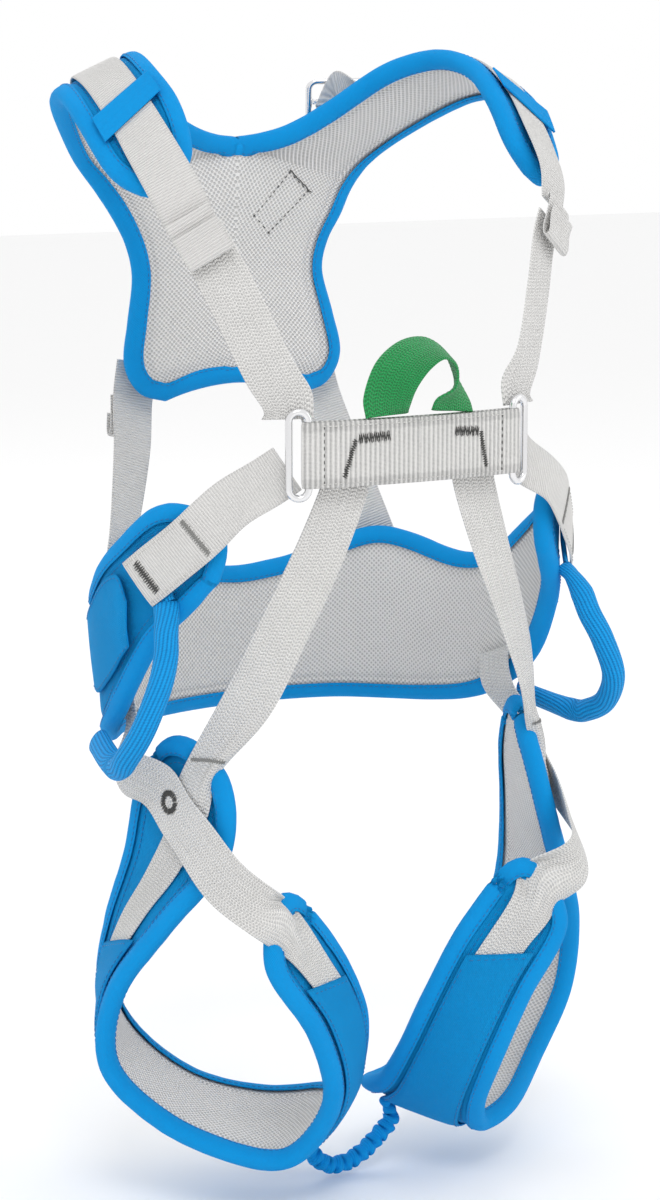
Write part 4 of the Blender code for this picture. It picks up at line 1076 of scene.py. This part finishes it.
# ---- hip pockets ----
# A fabric panel on the belt's side that the hip strap and cord end run towards.
# (place along the belt, low height, high height)
POCKET = np.array(((3.15, -38, -4), (3.5, -37, -4), (3.9, -35, -1), (4.3, -34, 6),
                   (4.7, -28, 15), (5.05, -21, 21), (5.35, -13, 22), (5.55, -8, 12)))
for side_name, side in SIDES:
    edge = curve_at(POCKET, np.linspace(0, len(POCKET) - 1, 46))
    share = np.linspace(0, 1, 24)
    heights = edge[:, 1:2] + (edge[:, 2:3] - edge[:, 1:2]) * share
    lift = FABRIC_TOP + 1.4 + 0.8 * np.clip((edge[:, :1] - 5.0) / 0.4, 0, 1)
    puff = 0.3 * np.sin(share * math.pi)
    grid = on_belt(edge[:, :1] + share * 0, heights, lift + puff)[0]
    add_sheet(side_name + "_hip_pocket_cloth", grid, CLOTH_THICK, BLUE, side_name + "_hip_pocket",
              "belt_face", side)

# ---- gear loops and the leg loops' elastic ----
# Braided tube over a stiff core, pressed flat where its ends are sewn to the belt. The two leg
# loops are tied by a short gathered elastic.
CORD_RADIUS = 5.3
CORD_REST = 5.3              # underside of the cord's round ends over the belt's middle surface
# (place, height, lift, half width)
CORD_TAB = ((5.86, 35, FLAT_CORD_LIFT, 6.6), (6.0, 30, FLAT_CORD_LIFT, 6.6),
            (6.14, 24, FLAT_CORD_LIFT, 6.4), (6.26, 18, FLAT_CORD_LIFT + 0.8, 5.8),
            (6.36, 13, FLAT_CORD_LIFT + 1.8, 5.6))
GEAR_LOOP = [mm(106, -45, 1), mm(108, -48.5, -8), mm(113, -52, -20), mm(120, -51, -37),
             mm(123, -41, -51), mm(121, -30, -57.5), mm(118.5, -19, -59)]


def braid(name, light, dark, strands=18, pitch=90.0):
    """Fine yarn ribs that run along the tube with a slow twist, crossed by small picks."""
    made = Finish(name, 0.7)
    made.shader.inputs["Specular IOR Level"].default_value = 0.25
    turn, along = made.cloth()
    lane = (turn * strands + along / pitch * 3).wrapped() - 0.5
    ridge = 1 - (lane.size() * 2).power(2.0)
    pick = (along * (2 * math.pi / 1.1) + turn * (2 * math.pi * strands / 2)).sine()
    fuzz = made.grain(900.0, 3.0)
    return made.link(made.blend((ridge * 0.5 + fuzz * 0.3 + pick * 0.08).step(0.05, 0.75), dark, light),
                     ridge + pick * 0.2 + fuzz * 0.3, 0.0005, 0.55 + fuzz * 0.2)


BRAID = braid("braided_cord", (0.0, 0.33, 0.78), (0.0, 0.20, 0.55))
for side_name, side in SIDES:
    spots = curve_at(np.array(CORD_TAB), np.linspace(0, 4, 41))
    centres, wides = [], []
    for place, height, lift, half_width in spots:
        point = on_belt(place, height, lift)[0]
        centres.append(point)
        wides.append(unit(on_belt(place + 0.1, height, lift)[0] - point) + UP * 0.4)
    radii = np.stack([spots[:, 3], np.full(len(spots), FLAT_CORD / 2)], axis=1)
    add_piece(side_name + "_gear_loop_flat_end",
              round_rod(centres, radii, sides=24, wides=wides), BRAID,
              nodes=(side_name + "_gear_loop_tab",), side=side)

    neck = on_belt(6.46, 8.5, CORD_REST + CORD_RADIUS * 0.78)[0]
    foot, foot_out = on_belt(4.45, -55, CORD_REST + CORD_RADIUS * 0.62)
    start = on_belt(6.385, 11.8, 5.6)[0]
    route = np.array([start, neck] + GEAR_LOOP + [foot])
    fine = np.linspace(0, len(route) - 1, 145)
    centres = curve_at(route, fine)
    neck_share = np.clip(2 - fine, 0, 1)[:, None]
    foot_share = np.clip(fine - len(route) + 2, 0, 1)[:, None]
    radii = (np.array([[1.0, 1.0]]) * (1 - neck_share - foot_share)
             + np.array([[1.08, 0.66]]) * neck_share
             + np.array([[1.1, 0.6]]) * foot_share) * CORD_RADIUS
    first_wide = unit(on_belt(6.56, 8.5, 0)[0] - on_belt(6.46, 8.5, 0)[0])
    last_wide = unit(np.cross(foot_out, UP))
    if np.dot(last_wide, first_wide) < 0:
        last_wide = -last_wide
    mix = (fine / fine[-1])[:, None]
    wides = first_wide * (1 - mix) + last_wide * mix
    loop = add_piece(side_name + "_gear_loop_cord",
                     round_rod(centres, radii, sides=28, wides=wides), BRAID,
                     body=side_name + "_gear_loop", nodes=(side_name + "_gear_loop",),
                     side=side)
    path = centres * (side, 1, 1) / 1000
    length = float(np.linalg.norm(np.diff(path, axis=0), axis=1).sum())

ELASTIC = [mm(-25, -20, -245), mm(-20, -21, -252), mm(-13, -21, -257), mm(-4, -21, -257.5),
           mm(5, -21, -254), mm(14, -20, -248), mm(20.5, -20, -241.5), mm(20, -19.5, -236),
           mm(18, -19, -231)]
ELASTIC_RADIUS = 4.3
GATHER_PITCH = 4.4
fine = np.linspace(0, len(ELASTIC) - 1, 241)
centres = curve_at(ELASTIC, fine)
lengths = lengths_along(centres)
gathers = 0.5 + 0.5 * np.cos(lengths * 2 * math.pi / GATHER_PITCH)
radius = ELASTIC_RADIUS * (0.72 + 0.38 * gathers ** 0.7) * (1 - 0.3 * np.clip(fine - 6, 0, 1))
way = unit(np.gradient(centres, axis=0))
centres = centres + np.cross(way, mm(0, 1, 0)) * (np.sin(lengths * math.pi / GATHER_PITCH) * 0.5)[:, None]
add_piece("leg_loop_elastic_gathers", round_rod(centres, radius[:, None] * (1.0, 0.92), sides=24),
          TAPE, nodes=("leg_loop_elastic",))

# ---- stitching ----
# Lock stitches in round thread. One stitch is set along every seam at an even pitch, and bar
# tacks are close rows of the same stitch.


def stitch_tree():
    """One long bead at each seam point, turned by the point's own directions."""
    tree = bpy.data.node_groups.new("stitches", "GeometryNodeTree")

    def socket(name, kind, way="INPUT"):
        return tree.interface.new_socket(name, in_out=way, socket_type=kind).identifier

    def node(kind, settings, values):
        return new_node(tree, kind, settings, values).outputs

    def read(word, kind):
        return node("GeometryNodeInputNamedAttribute", {"data_type": kind}, {"Name": word})["Attribute"]

    socket("Seam points", "NodeSocketGeometry")
    inputs = {"length": socket("Stitch length", "NodeSocketFloat"),
              "gauge": socket("Thread gauge", "NodeSocketFloat"),
              "thread": socket("Thread", "NodeSocketMaterial")}
    socket("Stitches", "NodeSocketGeometry", "OUTPUT")
    entry = node("NodeGroupInput", {}, {})
    bead = node("GeometryNodeMeshUVSphere", {}, {"Segments": 6, "Rings": 5, "Radius": 0.5})
    turn = node("FunctionNodeAxesToRotation", {"primary_axis": "X", "secondary_axis": "Z"},
                {"Primary Axis": read("along", "FLOAT_VECTOR"),
                 "Secondary Axis": read("out", "FLOAT_VECTOR")})
    long = node("ShaderNodeMath", {"operation": "MULTIPLY"},
                {0: entry["Stitch length"], 1: read("share", "FLOAT")})
    scale = node("ShaderNodeCombineXYZ", {},
                 {"X": long["Value"], "Y": entry["Thread gauge"], "Z": entry["Thread gauge"]})
    place = node("GeometryNodeInstanceOnPoints", {},
                 {"Points": entry["Seam points"], "Instance": bead["Mesh"],
                  "Rotation": turn["Rotation"], "Scale": scale["Vector"]})
    real = node("GeometryNodeRealizeInstances", {}, {"Geometry": place["Instances"]})
    paint = node("GeometryNodeSetMaterial", {},
                 {"Geometry": real["Geometry"], "Material": entry["Thread"]})
    node("NodeGroupOutput", {}, {"Stitches": paint["Geometry"]})
    return tree, inputs


STITCHES, STITCH_INPUTS = stitch_tree()


def thread_finish(name, colour):
    made = Finish(name, 0.55, sheen=0.1)
    ply = made.grain(2600.0, 2.0)
    dark = tuple(c * 0.6 for c in colour)
    return made.link(made.blend(ply, dark, colour), ply, 0.0001, 0.45 + ply * 0.2)


BLUE_THREAD = thread_finish("blue_thread", (0.0, 0.20, 0.56))
WHITE_THREAD = thread_finish("white_thread", (0.74, 0.73, 0.71))
GREY_THREAD = thread_finish("grey_thread", (0.055, 0.055, 0.052))
PALE_THREAD = thread_finish("pale_grey_thread", (0.28, 0.28, 0.27))


def sew(name, marks, thread, length=2.1, gauge=0.5, body="harness"):
    """Stitches at marks of (point, along, outward) and, where it differs, a share of the length."""
    mesh = bpy.data.meshes.new(name)
    mesh.from_pydata([tuple(m[0] / 1000) for m in marks], [], [])
    for word, index in (("along", 1), ("out", 2)):
        layer = mesh.attributes.new(word, "FLOAT_VECTOR", "POINT")
        layer.data.foreach_set("vector", np.array([m[index] for m in marks], np.float32).ravel())
    layer = mesh.attributes.new("share", "FLOAT", "POINT")
    layer.data.foreach_set("value", np.array([m[3] if len(m) > 3 else 1.0 for m in marks],
                                             np.float32))
    made = bpy.data.objects.new(name, mesh)
    bpy.context.scene.collection.objects.link(made)
    made.data.materials.append(thread)
    nodes = made.modifiers.new("stitches", "NODES")
    nodes.node_group = STITCHES
    nodes[STITCH_INPUTS["length"]] = length / 1000
    nodes[STITCH_INPUTS["gauge"]] = gauge / 1000
    nodes[STITCH_INPUTS["thread"]] = thread
    made.update_tag()
    real = evaluated_mesh(made)
    made.modifiers.clear()
    made.data = real
    real.name = name
    real.shade_smooth()
    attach(made, body)
    return made


def even(points, pitch):
    """Places along a polyline at an even pitch: indexes as floats."""
    lengths = lengths_along(points)
    count = max(int(lengths[-1] / pitch), 2)
    return np.interp(np.linspace(0, lengths[-1], count), lengths, np.arange(len(points)))


def rows_at(values, places):
    """Rows of an array, read at places counted in rows."""
    index = np.arange(len(values))
    return np.stack([np.interp(places, index, values[:, k]) for k in range(3)], axis=1)


def seam(points, outs, pitch=2.7):
    """Marks of a run of stitches along a line of points."""
    places = even(points, pitch)
    spots = rows_at(points, places)
    faces = unit(rows_at(outs, places))
    ways = unit(np.gradient(spots, axis=0))
    return list(zip(spots, ways, faces))


def mirrored_marks(marks, side):
    flip = np.array((side, 1, 1))
    return [tuple(part * flip for part in mark[:3]) + mark[3:] for mark in marks]


for name, path in pad_paths.items():
    pad = {"back_pad": back_pad, "belt": belt}.get(name, leg_pad)
    half = pad is back_pad
    side = -1 if name.startswith("right") else 1
    border = pad.border(path, half)
    marks = []
    for reach, lift in ((3.3, 4.24), (3.3, -4.64), (SEAM_IN, FABRIC_TOP - 0.45)):
        points, outs = pad.inside(path, border, reach, lift)
        if not half:
            points = np.concatenate([points, points[:1]])
            outs = np.concatenate([outs, outs[:1]])
        run = seam(points, outs)
        if half:
            marks += [m for m in run if m[0][0] > 0.8]
            run = [m for m in mirrored_marks(run, -1) if m[0][0] < -0.8]
        marks += mirrored_marks(run, side)
    sew(name + "_stitches", marks, BLUE_THREAD)

# rows along the sleeves' edges and across their mouths, and round the pockets
SLEEVE_STITCH = SLEEVE_LIFT + CLOTH_THICK / 2 + 0.12
for side_name, side in SIDES:
    marks = []
    for s in (SLEEVE_FROM + 0.07, SLEEVE_TO - 0.07):
        v = np.linspace(0.24, 0.76, 30)
        marks += seam(*leg_pad.place(np.full(30, s), v, SLEEVE_STITCH))
    s = np.linspace(SLEEVE_FROM + 0.2, SLEEVE_TO - 0.2, 160)
    for v in (0.19, 0.81):
        marks += seam(*leg_pad.place(s, np.full(160, v), 5.4))
    for share in (0.04, 0.96):
        rows = curve_at(POCKET, np.linspace(0.2, len(POCKET) - 1.2, 60))
        height = rows[:, 1] + (rows[:, 2] - rows[:, 1]) * share
        extra = 0.8 * np.clip((rows[:, 0] - 5.0) / 0.4, 0, 1)
        marks += seam(*on_belt(rows[:, 0], height, FABRIC_TOP + 1.95 + extra))
    sew(side_name + "_sleeve_and_pocket_stitches", mirrored_marks(marks, side), BLUE_THREAD)


def tack(strap, first, last, wide, pitch=0.5, length=1.9):
    """A bar tack from first to last, each (along, across) in millimetres: threads laid across
    the bar in a close zigzag."""
    first, last = np.array(first, float), np.array(last, float)
    way = unit(last - first)
    count = max(int(np.linalg.norm(last - first) / pitch), 2)
    marks = []
    for k in range(count + 1):
        along, across = first + (last - first) * k / count
        spot, run, cross, out = strap.mark(along, across / (strap.width / 2), 0.22)
        lean = 0.22 if k % 2 else -0.22
        thread = run * (-way[1] + way[0] * lean) + cross * (way[0] + way[1] * lean)
        marks.append((spot, unit(thread), out, wide * (0.85 + 0.3 * (k % 3) / 2) / length))
    return marks


def stitch_line(strap, start, end, across_from, across_to, pitch=2.4):
    steps = np.linspace(0, 1, 24)
    found = [strap.mark(start + (end - start) * t, across_from + (across_to - across_from) * t, 0.15)
             for t in steps]
    return seam(np.array([f[0] for f in found]), np.array([f[3] for f in found]), pitch)


def on_back_lining(x, z):
    """Points and inward normals on the back pad's lining at places seen from the front."""
    s, v = np.meshgrid(np.linspace(2.5, 8.5, 260), np.linspace(0, 1, 120))
    spots, normals = back_pad.place(s, v, -(FABRIC_TOP + 1.15))
    spots, normals = spots.reshape(-1, 3), -normals.reshape(-1, 3)
    near = [int(np.argmin((spots[:, 0] - a) ** 2 + (spots[:, 2] - b) ** 2)) for a, b in zip(x, z)]
    return spots[near], normals[near]


# the box of stitches that holds the rear adjuster's webbing, seen on the lining
BOX_CORNERS = ((28.9, 186.9), (39.0, 178.0), (18.2, 159.2), (9.7, 167.4))
box = []
for (xa, za), (xb, zb) in zip(BOX_CORNERS, BOX_CORNERS[1:] + BOX_CORNERS[:1]):
    steps = np.linspace(0, 1, 40)
    points, outs = on_back_lining(xa + (xb - xa) * steps, za + (zb - za) * steps)
    ease = np.linspace(0, 1, 40)[:, None]
    points = points * 0.3 + (points[:1] * (1 - ease) + points[-1:] * ease) * 0.7
    box += seam(points, outs, 2.5)
xs = np.linspace(BOX_CORNERS[0][0] + 0.5, BOX_CORNERS[1][0] + 1.5, 12)
zs = np.linspace(BOX_CORNERS[0][1] + 0.8, BOX_CORNERS[1][1] - 0.5, 12)
points, outs = on_back_lining(xs, zs)
box += seam(points, outs, 0.8)

# the bridge's long box and its dark tacks, which hold the tie-in loop's tails
bridge_grey, bridge_white = [], []
round_trip = bridge.lengths[-1] + bridge.lengths[1]


def bridge_place(x, height):
    """(along, across) on the bridge's front for a distance from its middle and a height."""
    flip_across = 1.0 if bridge.grid[0, -1, 2] > bridge.grid[0, 0, 2] else -1.0
    return (x if x >= 0 else round_trip + x), height * flip_across


for first, last, wide in (((-30, 6.3), (-15.5, 7.0), 4.6), ((-31.5, 5.8), (-36.5, -9.6), 2.6),
                          ((17.5, 6.8), (29.5, 6.0), 4.6), ((31, 5.6), (34, -9.6), 2.6)):
    bridge_grey += tack(bridge, bridge_place(*first), bridge_place(*last), wide)
BOX_FROM, BOX_TO = -46.0, 43.0
BOX_HALF = 12.2
for height in (-BOX_HALF, BOX_HALF):
    across = bridge_place(0, height)[1] / (BRIDGE_HEIGHT / 2)
    bridge_white += stitch_line(bridge, round_trip + BOX_FROM, round_trip - 0.6, across, across)
    bridge_white += stitch_line(bridge, 0.6, BOX_TO, across, across)
for x in (BOX_FROM, BOX_TO):
    along = bridge_place(x, 0)[0]
    bridge_grey += stitch_line(bridge, along, along, -0.84, 0.84, 2.6)
sew("bridge_box_stitches", bridge_white, WHITE_THREAD, 1.9, 0.6)
sew("bridge_and_back_dark_stitches", bridge_grey + box, GREY_THREAD, 1.9, 0.5)

# the straps' sewn ends, the bar tack on the thigh webbing and the round one on the crossing
TACK_HALF = 8.6
THIGH_TACK = 147.0           # distance along the thigh webbing
ROUND_TACK = 69.0            # distance along the crossing webbing
ROUND_TACK_THREADS = 44
for side_name, side in SIDES:
    found = {"white": [], "dark": [], "pale": []}
    hip = straps[side_name + "_hip_strap"]
    end = hip.lengths[-1]
    thigh = straps[side_name + "_leg_strap"]
    for kind, strap, along, half, wide in (("dark", hip, end - 6.5, 7.2, 4.6),
                                           ("pale", hip, end - 35, TACK_HALF, 3.2),
                                           ("pale", thigh, THIGH_TACK, TACK_HALF, 2.2)):
        found[kind] += tack(strap, (along, -half), (along, half), wide)
    for edge in (-0.84, 0.84):
        found["white"] += stitch_line(hip, end - 30, end - 2, edge, edge)
    shoulder = straps[side_name + "_strap_fold"]
    for row in (12.0, 14.6, 17.2):
        found["white"] += stitch_line(shoulder, row, row, -0.88, 0.88, 1.7)
    crossing = straps[side_name + "_crossing_strap"]
    for turn in 2 * math.pi * np.arange(ROUND_TACK_THREADS) / ROUND_TACK_THREADS:
        spot, run, cross, out = crossing.mark(ROUND_TACK + math.cos(turn) * 4.2,
                                              math.sin(turn) * 3.6 / (WEB_WIDTH / 2), 0.25)
        found["dark"].append((spot, unit(run * math.cos(turn) + cross * math.sin(turn)), out, 1.6))
    back = straps[side_name + "_back_strap_fold"]
    found["white"] += stitch_line(back, 6, 6, -0.85, 0.85)
    for kind, thread in (("white", WHITE_THREAD), ("dark", GREY_THREAD), ("pale", PALE_THREAD)):
        sew(f"{side_name}_{kind}_webbing_stitches", mirrored_marks(found[kind], side), thread,
            1.9, 0.55)

# ---- floor and light ----
# A pale floor under the leg loops, a large soft key from above and in front, and two fills.
floor_mesh = bpy.data.meshes.new("floor")
FLOOR_HALF = 6.0
floor_mesh.from_pydata([(-FLOOR_HALF, -FLOOR_HALF, 0), (FLOOR_HALF, -FLOOR_HALF, 0),
                        (FLOOR_HALF, FLOOR_HALF, 0), (-FLOOR_HALF, FLOOR_HALF, 0)], [],
                       [(0, 1, 2, 3)])
floor = bpy.data.objects.new("floor", floor_mesh)
floor.location.z = cad_low.z - 0.001
bpy.context.scene.collection.objects.link(floor)
paper = Finish("pale_floor", 0.9)
paper.shader.inputs["Base Color"].default_value = (0.93, 0.93, 0.93, 1.0)
floor.data.materials.append(paper.material)

world = bpy.data.worlds.new("studio")
world.use_nodes = True
world.node_tree.nodes["Background"].inputs["Color"].default_value = (1.0, 1.0, 1.0, 1.0)
world.node_tree.nodes["Background"].inputs["Strength"].default_value = 1.0
bpy.context.scene.world = world
bpy.context.scene.view_settings.view_transform = "Standard"
for name, spot, power, size in (("key", (-0.7, -1.5, 1.9), 14.0, 0.9),
                                ("fill", (1.6, -1.1, 0.7), 3.0, 1.4),
                                ("rear", (0.3, 1.6, 1.5), 5.0, 1.2)):
    lamp = bpy.data.lights.new(name, "AREA")
    lamp.energy = power
    lamp.size = size
    holder = bpy.data.objects.new(name, lamp)
    holder.location = spot
    holder.rotation_mode = "QUATERNION"
    holder.rotation_quaternion = (-Vector(spot)).to_track_quat("-Z", "Y")
    bpy.context.scene.collection.objects.link(holder)
